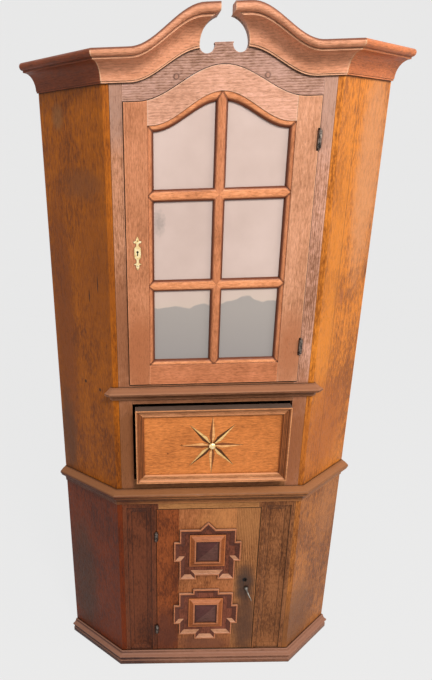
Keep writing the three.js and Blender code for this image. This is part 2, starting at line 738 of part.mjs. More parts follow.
function upperCase() {
  const tongue = DRAWER_OPENING_HALF - GAP;
  const outer = DRAWER_BOX_HALF + 19.5;
  const alongSide = [BEHIND_FRAME, 420];
  const bearer = box([DRAWER_BOX_HALF - 20, outer], alongSide, [UPPER_FLOOR_TOP - 1, DRAWER_RUNNER_TOP]);
  const guideZ = [DRAWER_RUNNER_TOP - 1, DRAWER_RUNNER_TOP + 20];
  const guide = box([DRAWER_BOX_HALF + 1.5, outer], alongSide, guideZ);
  const runner = join(bearer, guide);
  const drawerRail = box([-tongue, tongue], [0, FRAME_THICK], [UPPER_FLOOR_TOP - 1, DRAWER_RUNNER_TOP]);
  const floor = insideBoard(BEHIND_FRAME, UPPER_LOW, UPPER_FLOOR_TOP, tongue);
  piece("upper_floor", join(floor, drawerRail, runner, turnedOver(runner)), FINISH.innerOak);
  innerBoard("glazed_section_floor", BEHIND_FRAME, [GLAZED_FLOOR_LOW, GLAZED_FLOOR_LOW + SHELF_THICK]);
  innerBoard("upper_top_board", BEHIND_FRAME, [TOP_BOARD_LOW, TOP_BOARD_LOW + SHELF_THICK]);
  BAR_CENTRES.forEach((z, i) => {
    innerBoard(`upper_shelf_${i + 1}`, SHELF_FRONT, [z - SHELF_THICK / 2, z + SHELF_THICK / 2]);
  });
  sideBoards("upper_side", UPPER_LOW, STILE_TOP, FINISH.sideOak);
  backBoards("upper_back", UPPER_LOW, TOP_BOARD_LOW + SHELF_THICK);
  piece("upper_stile_left", upperStile(), FINISH.greyOak).scale.x = -1;
  piece("upper_stile_right", cut(upperStile(), ...upperPockets("case")), FINISH.greyOak);
  piece("frieze", frieze(), FINISH.greyOak);
  const middleRail = [
    at(0, DRAWER_OPENING_TOP),
    at(FRAME_THICK, DRAWER_OPENING_TOP),
    at(FRAME_THICK, MIDDLE_RAIL_TOP + STOP_LIP),
    at(DOOR_STOP, MIDDLE_RAIL_TOP + STOP_LIP),
    at(DOOR_STOP, MIDDLE_RAIL_TOP),
    at(0, MIDDLE_RAIL_TOP),
  ];
  piece("middle_rail", rail(middleRail, -tongue, tongue), FINISH.mouldOak);
}

function middleMoulding() {
  const foot = 1105;
  const turnBack = 10;
  const end = onReturn(turnBack, 0);
  const path = [at(-end.x, end.y), at(-FRONT_HALF, 0), at(FRONT_HALF, 0), end];
  const profile = [
    at(GAP, 0),
    at(6, 0),
    ...arc(24, 3, 18, 14, 180, 90, 4),
    at(26, 18),
    ...arc(25, 24, 5, 5, -75, 60, 5),
    at(20, 31),
    at(10, 36),
    at(5, 38),
    at(5, 41),
    at(GAP, 41),
  ];
  return moulding(path, profile, foot);
}

// Cornice: a cove under a torus. On the front it rises as a pair of swan necks, cut by a round opening.
const CORNICE_PROFILE = [
  at(GAP, 0),
  at(6, 0),
  at(6, 4),
  ...arc(46, 4, 38, 45, 180, 90, 8),
  at(50, 49),
  at(50, 54),
  ...arc(51, 64, 11, 10, -90, 90, 8),
  at(GAP, CORNICE_HEIGHT),
];

function swanNeck() {
  const slices = [...spread(NECK_INNER, NECK_START + 5, 20), FRONT_HALF - 30];
  const growth = (x) => 1 + NECK_GROWTH * swell(x, NECK_START, NECK_END);
  const section = (x) => CORNICE_PROFILE.map((p) => at(-p.x, neckFoot(x) + p.y * growth(x)));
  const rings = slices.map((x) => slice(x, section(x)));
  const mitreX = (p) => FRONT_HALF - GAP + MITRE * p.x;
  const mitred = CORNICE_PROFILE.map((p) => new THREE.Vector3(mitreX(p), -p.x, CORNICE_FOOT + p.y));
  const neck = loft([...rings, mitred], CORNICE_PROFILE);
  const opening = roundBar(OPENING_RADIUS, 0, OPENING_Z, -CORNICE_REACH - 5, 5, 40);
  return cut(neck, opening);
}

function corniceReturn() {
  const start = onReturn(GAP, 0);
  const end = onReturn(RETURN_LENGTH, 0);
  const ring = (base, out) =>
    CORNICE_PROFILE.map((p) => {
      const place = base.clone().addScaledVector(out, p.x);
      return new THREE.Vector3(place.x, place.y, CORNICE_FOOT + p.y);
    });
  return loft([ring(start, at(MITRE, -1)), ring(end, at(DIAGONAL, -DIAGONAL))], CORNICE_PROFILE);
}

// Glazed door
const sightMould = (ridge, depth) => arc(ridge, MOULD_EDGE, depth, MOULD_EDGE - MOULD_RIDGE, 180, 270, 6);
const paneTop = (x) => PANE_SHOULDER + PANE_RISE * swell(x, PANE_HALF + 2, 0);
const mouldTop = (x) => PANE_SHOULDER + SIGHT_MOULD + (PANE_RISE + 6) * swell(x, PANE_HALF + 6, 0);

// The glazing bars' pointed ends are let into notches in the sight mouldings.
const NOTCH_REACH = SIGHT_MOULD + 4;
const NOTCH_Y = [-6, REBATE_FACE];

function sideNotch(z) {
  const mouth = STILE_INNER - NOTCH_REACH;
  return frontBoard([at(mouth, z - NOTCH_REACH), at(STILE_INNER, z), at(mouth, z + NOTCH_REACH)], ...NOTCH_Y);
}

const THROUGH_DOOR = [DOOR_FACE - 2, DOOR_BACK + 2];

function doorStile() {
  const section = [
    at(STILE_INNER, DOOR_FACE),
    at(DOOR_HALF, DOOR_FACE),
    at(DOOR_HALF, DOOR_BACK),
    at(PANE_HALF + REBATE_WIDE, DOOR_BACK),
    at(PANE_HALF + REBATE_WIDE, REBATE_FACE),
    at(PANE_HALF, REBATE_FACE),
    ...sightMould(STILE_INNER, SIGHT_MOULD),
  ];
  const board = planBoard(section, DOOR_LOW, DOOR_SHOULDER + 6);
  const inner = PANE_HALF - 1;
  const above = DOOR_SHOULDER + 12;
  const sillMitre = [
    at(inner, DOOR_LOW - 1),
    at(STILE_INNER, DOOR_LOW - 1),
    at(STILE_INNER, PANE_LOW - SIGHT_MOULD),
    at(inner, PANE_LOW + 1),
  ];
  const headMitre = [
    at(inner, PANE_SHOULDER - 1),
    at(STILE_INNER, PANE_SHOULDER + SIGHT_MOULD),
    at(STILE_INNER, above),
    at(inner, above),
  ];
  const arch = spread(STILE_INNER - 1, DOOR_HALF + 1, 4).map((x) => at(x, doorTop(x)));
  const overTop = [at(STILE_INNER - 1, above), ...arch, at(DOOR_HALF + 1, above)];
  const tools = [sillMitre, headMitre, overTop].map((points) => frontBoard(points, ...THROUGH_DOOR));
  return cut(board, ...tools, ...BAR_CENTRES.map(sideNotch));
}

// Cuts both ends of a rail's moulding to the mitre; slope is +1 at the head and -1 at the sill.
function mitreTools(zAtPane, slope) {
  const clear = 0.45;
  const line = (x) => zAtPane + slope * (x - PANE_HALF + clear);
  const near = PANE_HALF - 5;
  const far = STILE_INNER + 1;
  const corner = [at(near, line(near)), at(far, line(far)), at(far, line(near))];
  const tool = frontBoard(corner, ...THROUGH_DOOR);
  return [tool, turnedOver(tool)];
}

function doorHead() {
  const half = STILE_INNER - GAP;
  const mould = sightMould(SIGHT_MOULD, SIGHT_MOULD);
  const sectionAt = (x) => {
    const low = paneTop(x);
    const grow = (mouldTop(x) - low) / SIGHT_MOULD;
    const curve = mould.map((p) => at(p.y, low + grow * p.x));
    const ledge = low + REBATE_WIDE;
    const rebate = [at(DOOR_BACK, ledge), at(REBATE_FACE, ledge), at(REBATE_FACE, low)];
    const top = [at(DOOR_FACE, doorTop(x)), at(DOOR_BACK, doorTop(x))];
    return [...top, ...rebate, ...curve, at(DOOR_FACE, mouldTop(x))];
  };
  const head = loft(spread(-half, half, 28).map((x) => slice(x, sectionAt(x))), sectionAt(half));
  const notch = frontBoard(headPoint(4), ...NOTCH_Y);
  return cut(head, ...mitreTools(PANE_SHOULDER, 1), notch);
}

// The pointed top of the upright bar where it meets the arched moulding.
function headPoint(past) {
  const apex = mouldTop(0);
  const slope = (apex - paneTop(BAR_HALF)) / BAR_HALF;
  const wide = BAR_HALF + past;
  return [at(-wide, apex - slope * wide), at(wide, apex - slope * wide), at(0, apex)];
}

function doorSill() {
  const ridge = PANE_LOW - SIGHT_MOULD;
  const section = [
    at(DOOR_FACE, DOOR_LOW),
    at(DOOR_BACK, DOOR_LOW),
    at(DOOR_BACK, PANE_LOW - REBATE_WIDE),
    at(REBATE_FACE, PANE_LOW - REBATE_WIDE),
    at(REBATE_FACE, PANE_LOW),
    ...sightMould(0, SIGHT_MOULD).map((p) => at(p.y, ridge - p.x)),
    at(DOOR_FACE, ridge),
  ];
  const sill = rail(section, -STILE_INNER + GAP, STILE_INNER - GAP);
  const mouth = ridge + NOTCH_REACH;
  const notch = frontBoard([at(-NOTCH_REACH, mouth), at(0, ridge), at(NOTCH_REACH, mouth)], ...NOTCH_Y);
  return cut(sill, ...mitreTools(PANE_LOW, -1), notch);
}

// One lattice: an upright bar and two crosswise ones, with half-round faces and pointed ends.
function glazingBars() {
  const clear = GAP + 0.1;
  const ends = [NOTCH_Y[0], REBATE_FACE + 2];
  const tip = STILE_INNER - clear;
  const neck = tip - BAR_HALF;
  const face = arc(MOULD_EDGE, 0, MOULD_EDGE - MOULD_RIDGE, BAR_HALF, 270, 90, 12);
  const section = [at(REBATE_FACE, -BAR_HALF), ...face, at(REBATE_FACE, BAR_HALF)];
  const crosswise = BAR_CENTRES.map((z) => {
    const [low, high] = [z - BAR_HALF, z + BAR_HALF];
    const shape = [at(-tip, z), at(-neck, low), at(neck, low), at(tip, z), at(neck, high), at(-neck, high)];
    return common(rail(section.map((p) => at(p.x, p.y + z)), -tip, tip), frontBoard(shape, ...ends));
  });
  const foot = PANE_LOW - SIGHT_MOULD + clear;
  const [, right, apex] = headPoint(0);
  const edge = [at(BAR_HALF, foot + BAR_HALF), at(BAR_HALF, right.y - clear)];
  const shape = bothSides([at(0, foot), ...edge, at(0, apex.y - clear)]);
  const upright = planBoard(section.map((p) => at(p.y, p.x)), foot, apex.y);
  return join(common(upright, frontBoard(shape, ...ends)), ...crosswise);
}

function doorGlass() {
  const margin = REBATE_WIDE - 1;
  const half = PANE_HALF + margin;
  const top = spread(half, -half, 24).map((x) => at(x, paneTop(x) + margin));
  const front = REBATE_FACE + GAP;
  const sheet = [at(-half, PANE_LOW - margin), at(half, PANE_LOW - margin), ...top];
  return frontBoard(sheet, front, front + GLASS_THICK);
}

// A pierced brass plate with pointed ends, about a key's height long on either side of the keyhole.
function escutcheon() {
  const spear = [at(0, 48), at(4.5, 39), at(4, 36)];
  const upperArm = [at(12, 33), at(9, 29), at(3.5, 28), at(3.5, 21)];
  const middle = [at(9, 16), at(9.5, 2), at(9, -12)];
  const lowerArm = [at(3.5, -18), at(3.5, -27), at(11, -31)];
  const tail = [at(4.5, -33), at(4.5, -40), at(0, -48)];
  const edge = bothSides([...spear, ...upperArm, ...middle, ...lowerArm, ...tail]);
  const plate = new THREE.Shape(edge.map((p) => at(p.x + UPPER_KEY.x, p.y + UPPER_KEY.z - 2)));
  plate.holes.push(keyholeShape(UPPER_KEY.x, UPPER_KEY.z + 2));
  for (const z of [UPPER_KEY.z + 33, UPPER_KEY.z - 38]) {
    plate.holes.push(new THREE.Path(arc(UPPER_KEY.x, z, 1.5, 1.5, 0, 300, 5)));
  }
  return frontBoard(plate, DOOR_FACE - GAP - 1.6, DOOR_FACE - GAP);
}

function glazedDoor() {
  const stile = doorStile();
  const keyhole = frontBoard(keyholeShape(-UPPER_KEY.x, UPPER_KEY.z + 1), DOOR_FACE - 1, DOOR_BACK + 1);
  piece("glazed_door_stile_left", cut(stile, keyhole), FINISH.doorOak).scale.x = -1;
  piece("glazed_door_stile_right", cut(stile, ...upperPockets("door")), FINISH.doorOak);
  piece("glazed_door_head", doorHead(), FINISH.doorOak);
  piece("glazed_door_sill", doorSill(), FINISH.doorOak);
  piece("glazing_bars", glazingBars(), FINISH.barOak);
  piece("door_glass", doorGlass(), FINISH.glass);
  piece("escutcheon", escutcheon(), FINISH.brass);
}

// Drawer
// Eight rays, each a kite that is widest a third of the way out, with room added on every side.
function starShape(room) {
  const polar = (radius, angle) => at(radius * Math.cos(angle), STAR_Z + radius * Math.sin(angle));
  const widest = Math.hypot(STAR_WIDEST_AT, STAR_RAY_HALF + room);
  const lean = Math.atan2(STAR_RAY_HALF + room, STAR_WIDEST_AT);
  const between = Math.PI / 8;
  return spread(0, 7, 7).flatMap((ray) => [
    polar(STAR_REACH + 6 * room, 2 * ray * between),
    polar(widest, 2 * ray * between + lean),
    polar(STAR_NOTCH + 4 * room, (2 * ray + 1) * between),
    polar(widest, (2 * ray + 2) * between - lean),
  ]);
}

function drawerFront() {
  const zs = [DRAWER_LOW, DRAWER_HIGH];
  const board = box([-DRAWER_HALF, DRAWER_HALF], [DRAWER_PANEL_FACE, DRAWER_FRONT_BACK], zs);
  const outerBand = [at(0, -0.5), at(0, 14), at(5.5, 14), at(6, 12.5)];
  const hollow = arc(19, 12, 12, 6, 180, 270, 4);
  const bead = [at(20, 7.5), at(24, 7), at(DRAWER_FRAME_WIDE - 1, 3), at(DRAWER_FRAME_WIDE, -0.5)];
  const corners = bothSides([at(DRAWER_HALF, DRAWER_LOW), at(DRAWER_HALF, DRAWER_HIGH)]);
  const frame = appliedFrame(corners, [...outerBand, ...hollow, ...bead], DRAWER_PANEL_FACE);
  const pocketBack = DRAWER_PANEL_FACE + STAR_DEEP + GAP;
  const pocket = frontBoard(starShape(0.3), DRAWER_PANEL_FACE - 1, pocketBack);
  const stemHole = roundBar(3.4, 0, STAR_Z, 0, DRAWER_FRONT_BACK + 1, 16);
  return cut(join(board, frame), pocket, stemHole);
}

function drawerStar() {
  const star = frontBoard(starShape(0), DRAWER_PANEL_FACE, DRAWER_PANEL_FACE + STAR_DEEP);
  return cut(star, roundBar(3.6, 0, STAR_Z, 0, DRAWER_FRONT_BACK, 16));
}

function drawerKnob() {
  const profile = [
    at(0, -16),
    at(3, -16),
    at(3, GAP),
    at(8, GAP),
    at(7.5, 1.4),
    at(6.5, 2.6),
    at(9.5, 4.4),
    at(11.3, 6.4),
    at(11.3, 8.2),
    at(9.6, 10.8),
    at(5.8, 12.6),
    at(0, 13.4),
  ];
  return turned(profile, 20).rotateX(Math.PI).translate(0, DRAWER_PANEL_FACE, STAR_Z);
}

function drawer() {
  piece("drawer_front", drawerFront(), FINISH.drawerOak);
  piece("drawer_star", drawerStar(), FINISH.starWood);
  piece("drawer_knob", drawerKnob(), FINISH.brass);
  const half = DRAWER_BOX_HALF;
  const inner = half - DRAWER_WALL;
  const front = DRAWER_FRONT_BACK + GAP;
  const back = front + DRAWER_DEPTH;
  const depth = [front, back - DRAWER_WALL - GAP];
  const zs = [DRAWER_RUNNER_TOP + 0.4, DRAWER_SIDE_HIGH];
  pair("drawer_side", box([inner, half], depth, zs), FINISH.innerOak);
  piece("drawer_back", box([-half, half], [back - DRAWER_WALL, back], zs), FINISH.innerOak);
  const bottomLow = DRAWER_RUNNER_TOP + 6;
  const bottom = box([GAP - inner, inner - GAP], depth, [bottomLow, bottomLow + 8]);
  piece("drawer_bottom", bottom, FINISH.innerOak);
  const parts = group.children.filter((child) => child.name.startsWith("drawer_"));
  parts.forEach((part) => (part.position.y = -DRAWER_OPEN));
}

baseCase();
plinthAndWaist();
lowerDoor();
upperCase();
piece("middle_moulding", middleMoulding(), FINISH.mouldOak);
pair("cornice_neck", swanNeck(), FINISH.sideOak);
pair("cornice_return", corniceReturn(), FINISH.sideOak);
glazedDoor();
drawer();
hinges();
locks();
piece("turn_handle", turnHandle(), FINISH.iron);

// The room's corner and the cornice bound the piece in depth: centre it between them.
group.position.y = (CORNICE_REACH - WALL_SUM) / 2;

export default group;
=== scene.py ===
from math import cos, pi, radians, sin

import bmesh
import bpy
from mathutils import Matrix, Vector


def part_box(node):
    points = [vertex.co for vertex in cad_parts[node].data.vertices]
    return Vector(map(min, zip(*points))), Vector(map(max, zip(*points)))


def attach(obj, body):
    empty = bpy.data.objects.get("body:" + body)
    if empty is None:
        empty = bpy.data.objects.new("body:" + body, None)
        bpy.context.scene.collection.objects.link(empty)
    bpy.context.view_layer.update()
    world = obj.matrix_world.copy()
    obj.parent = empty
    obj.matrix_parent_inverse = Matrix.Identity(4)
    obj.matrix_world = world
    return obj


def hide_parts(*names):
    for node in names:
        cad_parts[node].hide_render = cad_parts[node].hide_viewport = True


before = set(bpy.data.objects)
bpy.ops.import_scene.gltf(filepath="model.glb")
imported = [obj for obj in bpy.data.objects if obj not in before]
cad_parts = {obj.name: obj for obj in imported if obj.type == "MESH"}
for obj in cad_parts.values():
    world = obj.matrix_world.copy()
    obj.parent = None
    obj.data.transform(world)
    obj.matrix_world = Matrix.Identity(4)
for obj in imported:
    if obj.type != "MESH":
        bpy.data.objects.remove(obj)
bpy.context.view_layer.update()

scene = bpy.context.scene

# Camera. It stands 1.8 m above the floor, a little left of the middle, and looks down at the cupboard, so
# the upright edges of the case run together towards the floor.
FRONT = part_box("upper_stile_left")[0][1]
EYE_LEFT, EYE_BACK, EYE_HEIGHT = 0.2545, 1.8564, 1.8046
LEFT_DEGREES, DOWN_DEGREES, LEAN = 1.39, 24.15, 0.03266
camera = bpy.data.objects.new("camera", bpy.data.cameras.new("camera"))
scene.collection.objects.link(camera)
scene.camera = camera
camera.location = (-EYE_LEFT, FRONT - EYE_BACK, EYE_HEIGHT)
turned_left = Matrix.Rotation(radians(LEFT_DEGREES), 4, "Z")
looking_down = Matrix.Rotation(radians(90 - DOWN_DEGREES), 4, "X")
leaning = Matrix.Rotation(-LEAN, 4, "Z")
camera.rotation_euler = (turned_left @ looking_down @ leaning).to_euler()
camera.data.sensor_width = 36
camera.data.lens = 32.39
camera.data.shift_x = 0.1399
camera.data.shift_y = 0.1430
camera.data.clip_end = 60


# Studio. A sheet of pale paper that runs back over the floor and up behind the cupboard, one large soft
# lamp overhead, a smaller one on the right, a weak one on the left, and an even pale room round them.
def colour(red, green, blue):
    """A colour given as it looks on a screen, as the renderer's linear numbers."""
    def linear(value):
        value = min(value, 255) / 255
        return value / 12.92 if value <= 0.04045 else ((value + 0.055) / 1.055) ** 2.4
    return (linear(red), linear(green), linear(blue), 1)


def new_material(name):
    """An empty material, its node tree and the tree's output."""
    material = bpy.data.materials.new(name)
    material.use_nodes = True
    tree = material.node_tree
    tree.nodes.clear()
    output = tree.nodes.new("ShaderNodeOutputMaterial")
    return material, tree, output


def add(tree, kind, inputs=None, **settings):
    """A node with its settings. Inputs gives a socket's name or number a value or another node's socket."""
    made = tree.nodes.new(kind)
    for key, value in settings.items():
        setattr(made, key, value)
    for key, value in (inputs or {}).items():
        if isinstance(value, bpy.types.NodeSocket):
            tree.links.new(value, made.inputs[key])
        else:
            made.inputs[key].default_value = value
    return made


def paper_shown(tree, camera_share, lit, plain):
    """Lit paper, but plain white in reflections, through glass and for a share of the camera's own view."""
    seen = add(tree, "ShaderNodeLightPath").outputs
    mirrored = add(tree, "ShaderNodeMath", {0: seen["Is Glossy Ray"], 1: seen["Is Transmission Ray"]})
    faced = {0: seen["Is Camera Ray"], 1: camera_share}
    directly = add(tree, "ShaderNodeMath", faced, operation="MULTIPLY")
    either = {0: mirrored.outputs[0], 1: directly.outputs[0]}
    share = add(tree, "ShaderNodeMath", either, operation="MAXIMUM").outputs[0]
    return add(tree, "ShaderNodeMixShader", {0: share, 1: lit.outputs[0], 2: plain.outputs[0]}).outputs[0]


PAPER_WHITE = colour(241, 241, 241)
paper, tree, output = new_material("pale_studio_paper")
lit = add(tree, "ShaderNodeBsdfDiffuse", {"Color": colour(176, 175, 173)})
plain = add(tree, "ShaderNodeEmission", {"Color": PAPER_WHITE, "Strength": 1.0})
tree.links.new(paper_shown(tree, 0.9, lit, plain), output.inputs["Surface"])

SHEET_NEAR, SHEET_FAR, SHEET_HALF_WIDE, SHEET_TOP = -7.0, 5.0, 9.0, 8.0
BEND, BEND_STEPS = 2.5, 10
bend_angles = [radians(90 * i / BEND_STEPS) for i in range(BEND_STEPS + 1)]
profile = [(SHEET_NEAR, 0.0)]
profile += [(SHEET_FAR + BEND * sin(angle), BEND * (1 - cos(angle))) for angle in bend_angles]
profile += [(SHEET_FAR + BEND, SHEET_TOP)]
form = bmesh.new()
left, right = [[form.verts.new((x, y, z)) for y, z in profile] for x in (-SHEET_HALF_WIDE, SHEET_HALF_WIDE)]
for i in range(len(profile) - 1):
    form.faces.new((left[i], right[i], right[i + 1], left[i + 1]))
mesh = bpy.data.meshes.new("studio_sheet")
form.to_mesh(mesh)
form.free()
mesh.materials.append(paper)
studio = bpy.data.objects.new("studio_sheet", mesh)
scene.collection.objects.link(studio)

world = bpy.data.worlds.new("pale_room")
scene.world = world
world.use_nodes = True
tree = world.node_tree
tree.nodes.clear()
output = tree.nodes.new("ShaderNodeOutputWorld")
lit = add(tree, "ShaderNodeBackground", {"Color": (1.0, 0.97, 0.94, 1), "Strength": 0.24})
plain = add(tree, "ShaderNodeBackground", {"Color": PAPER_WHITE, "Strength": 1.0})
tree.links.new(paper_shown(tree, 1.0, lit, plain), output.inputs["Surface"])


def soft_lamp(name, place, target, size, power, tint):
    """A round lamp of the given size that shines from its place on the target."""
    data = bpy.data.lights.new(name, "AREA")
    data.shape = "DISK"
    data.size = size
    data.energy = power
    data.color = tint
    lamp = bpy.data.objects.new(name, data)
    lamp.location = place
    lamp.rotation_euler = (Vector(target) - Vector(place)).to_track_quat("-Z", "Y").to_euler()
    scene.collection.objects.link(lamp)


case_middle = (0, FRONT, 1.1)
soft_lamp("sky_lamp", (1.1, FRONT - 4.2, 4.9), case_middle, size=1.6, power=250, tint=(1.0, 0.98, 0.95))
soft_lamp("right_lamp", (2.7, FRONT - 1.2, 2.6), case_middle, size=1.2, power=38, tint=(1.0, 0.95, 0.88))
soft_lamp("left_lamp", (-2.8, FRONT - 2.0, 1.6), (0, FRONT, 0.9), size=2.0, power=14, tint=(0.97, 0.98, 1.0))
scene.view_settings.view_transform = "Standard"


# Base case. Oak boards: two canted sides, two pilasters with a long sunk panel, a top rail between them and
# a floor, shelf and top inside. They are pegged and glued, and handling has rubbed their arrises round.
def hand_tools(tree):
    """Short ways to add to this tree: a sum, a value moved to another range, and a coat over another."""
    def calculated(operation, *values):
        return add(tree, "ShaderNodeMath", dict(enumerate(values)), operation=operation).outputs[0]

    def between(value, low, high, first=0.0, last=1.0, curve="SMOOTHSTEP"):
        ends = {"Value": value, "From Min": low, "From Max": high, "To Min": first, "To Max": last}
        return add(tree, "ShaderNodeMapRange", ends, interpolation_type=curve).outputs[0]

    def laid_over(under, factor, coat):
        return add(tree, "ShaderNodeMix", {0: factor, 6: under, 7: coat}, data_type="RGBA").outputs[2]

    return calculated, between, laid_over


def two_tints(tree, value, low, deep, high, pale):
    """A colour ramp along the value, deep up to low and pale from high on."""
    ramp = add(tree, "ShaderNodeValToRGB", {"Fac": value})
    ends = ramp.color_ramp.elements
    ends[0].position = low
    ends[0].color = deep
    ends[1].position = high
    ends[1].color = pale
    return ramp


def oak(name, tint, grain="Z", heart=(0.04, 0.05), turn=0.0, figure=0.14, contrast=0.6, gloss=0.40,
        wear_and_highlight=0.5, grime_and_shade=0.8, dust_and_sheen=0.4, top_shade=0.0, edges=0.0, marks=(), joints=(), lines=()):
    """Waxed oak of one tint.

    Grain runs along the given axis, heart is how far the tree's middle lay behind the board's face and
    across it, and turn is the board's angle in plan, in degrees. Figure is the weight of the growth rings.
    Edges and crown are the weights of painted shade where a moulding turns aside from the front and where it
    faces up; wear pales convex arrises, which are rubbed and are also painted highlights, dust pales faces
    that look up for a dusty bloom and a painted sheen, and grime darkens hollows for dirt and painted shade.
    The rest lies in the board's plane. Marks are soft patches of tint, stains and in places painted shade
    (across, up, half width, half height, tint, strength), joints are upright lines between two boards, and
    lines are dark lines of painted shade along grooves and edges inside a rectangle (across, up, half width,
    half height, insets)."""
    material, tree, output = new_material(name)
    calculated, between, laid_over = hand_tools(tree)
    place = add(tree, "ShaderNodeTexCoord").outputs["Object"]
    squared = add(tree, "ShaderNodeVectorRotate", {"Vector": place, "Angle": radians(turn)},
                  rotation_type="Z_AXIS").outputs[0]
    along = {"Z": (0, radians(90), 0), "X": (0, 0, 0)}[grain]
    up_the_log = heart[1] * 7.3
    laid = {"Vector": squared, "Rotation": along, "Location": (up_the_log, -FRONT - heart[0], heart[1])}
    board = add(tree, "ShaderNodeMapping", laid).outputs[0]

    def drawn(share):
        return add(tree, "ShaderNodeMapping", {"Vector": board, "Scale": (share, 1, 1)}).outputs[0]

    def clouds(vector, scale, detail=3.0, rough=0.5, twist=0.0):
        made = add(tree, "ShaderNodeTexNoise", {"Vector": vector, "Scale": scale, "Detail": detail,
                                                "Roughness": rough, "Distortion": twist})
        return made.outputs["Fac"]

    def shadowed(distance, inside=False):
        made = add(tree, "ShaderNodeAmbientOcclusion", {"Distance": distance}, samples=6, inside=inside)
        return made.outputs["AO"]

    def toned(factors, lift=0):
        return colour(*[value * factor + lift for value, factor in zip(tint, factors)])

    # The figure of the wood: rings, streaks, fibres, patches and mottle, weighed into one level.
    rings = add(tree, "ShaderNodeTexWave", {"Vector": drawn(0.22), "Scale": 52.0, "Distortion": 9.0,
                                            "Detail": 3.0, "Detail Scale": 0.16, "Detail Roughness": 0.6},
                wave_type="RINGS", rings_direction="X", wave_profile="SAW").outputs["Fac"]
    streak = between(clouds(drawn(0.07), 48.0, 4.0, 0.6), 0.30, 0.70)
    fibre = between(clouds(drawn(0.22), 300.0, 3.0, 0.65), 0.32, 0.68)
    patch = between(clouds(place, 5.0, 5.0, 0.66, 0.6), 0.30, 0.70)
    mottle = between(clouds(drawn(0.3), 150.0, 4.0, 0.65), 0.32, 0.68)
    pores = between(clouds(drawn(0.12), 620.0, 2.0, 0.6), 0.57, 0.68)
    parts = ((rings, figure), (streak, 0.14), (fibre, 0.30), (patch, 0.36), (mottle, 0.24))
    level = 0.0
    for part, weight in parts:
        level = calculated("MULTIPLY_ADD", part, weight / sum(share for _, share in parts), level)
    spread = 0.26 / contrast
    deep, pale = toned((0.72, 0.66, 0.60)), toned((1.16, 1.20, 1.28))
    ramp = two_tints(tree, level, 0.5 - spread, deep, 0.5 + spread, pale)
    ramp.color_ramp.elements.new(0.5).color = toned((1.0, 1.0, 1.0))
    # Worn arrises and painted highlight: convex edges, found by occlusion from inside, are laid over with a
    # paler tint.
    worn = between(shadowed(0.004, inside=True), 0.5, 0.95, wear_and_highlight, 0.0)
    shade = laid_over(ramp.outputs["Color"], worn, toned((1.26, 1.30, 1.36), 16))

    # Marks with ragged edges, stains and in places painted shade, then the pores, the joints and the dark
    # lines of painted shade along grooves and edges, which all show dark.
    split = add(tree, "ShaderNodeSeparateXYZ", {0: squared}).outputs
    ragged = clouds(place, 30.0, 4.0, 0.65)
    for across, up, half_wide, half_tall, stain, strength in marks:
        one = calculated("DIVIDE", calculated("SUBTRACT", split["X"], across), half_wide)
        other = calculated("DIVIDE", calculated("SUBTRACT", split["Z"], up), half_tall)
        round_it = calculated("ADD", calculated("MULTIPLY", one, one), calculated("MULTIPLY", other, other))
        rim = calculated("MULTIPLY_ADD", ragged, 1.1, round_it)
        textured = calculated("MULTIPLY_ADD", level, 0.7, strength - 0.35)
        shade = laid_over(shade, calculated("MULTIPLY", between(rim, 1.9, 0.55), textured), colour(*stain))
    dark = toned((0.36, 0.30, 0.26))
    shade = laid_over(shade, calculated("MULTIPLY", pores, 0.3), dark)
    for across in joints:
        gap = calculated("ABSOLUTE", calculated("SUBTRACT", split["X"], across))
        shade = laid_over(shade, between(gap, 0.0018, 0.0006, 0.0, 0.6), dark)
    for across, up, half_wide, half_tall, insets in lines:
        aside = calculated("ABSOLUTE", calculated("SUBTRACT", split["X"], across))
        above = calculated("ABSOLUTE", calculated("SUBTRACT", split["Z"], up))
        inset = calculated("MINIMUM", calculated("SUBTRACT", half_wide, aside),
                           calculated("SUBTRACT", half_tall, above))
        for reach in insets:
            near = calculated("ABSOLUTE", calculated("SUBTRACT", inset, reach))
            shade = laid_over(shade, between(near, 0.0016, 0.0003, 0.0, 0.75), dark)

    # Painted light and shade by the way each face looks, a dusty bloom on faces that look up, and grime with
    # painted shade in every corner.
    if edges:
        rounded = add(tree, "ShaderNodeBevel", {"Radius": 0.007}, samples=6)
    else:
        rounded = add(tree, "ShaderNodeNewGeometry")
    facing = add(tree, "ShaderNodeSeparateXYZ", {0: rounded.outputs["Normal"]}).outputs
    # Painted shade: faces that look up are darkened by the top-shade weight.
    shade = laid_over(shade, between(facing["Z"], 0.1, 0.75, 0.0, top_shade), toned((0.50, 0.40, 0.38)))
    # Dusty bloom and painted sheen: faces that look up are laid over with a paler tint, as settled dirt and
    # as the sheen of light from above.
    shade = laid_over(shade, between(facing["Z"], 0.15, 0.85, 0.0, dust_and_sheen), toned((0.98, 0.98, 1.0), 22))
    # Painted shade: where the rounded normal turns aside from the front, as on the sides of bars and sight
    # mouldings, the colour is darkened.
    shade = laid_over(shade, between(facing["Y"], -0.985, -0.88, 0.0, edges), toned((0.50, 0.40, 0.35)))
    # Grime and painted shade: the colour darkens where nearby surfaces close round a point, broadly in
    # hollows and strongly in tight corners.
    shade = laid_over(shade, between(shadowed(0.03), 0.25, 0.92, grime_and_shade * 0.6, 0.0), dark)
    in_corners = between(shadowed(0.007), 0.42, 0.95, grime_and_shade * 1.1, 0.0)
    shade = laid_over(shade, in_corners, toned((0.20, 0.16, 0.14)))

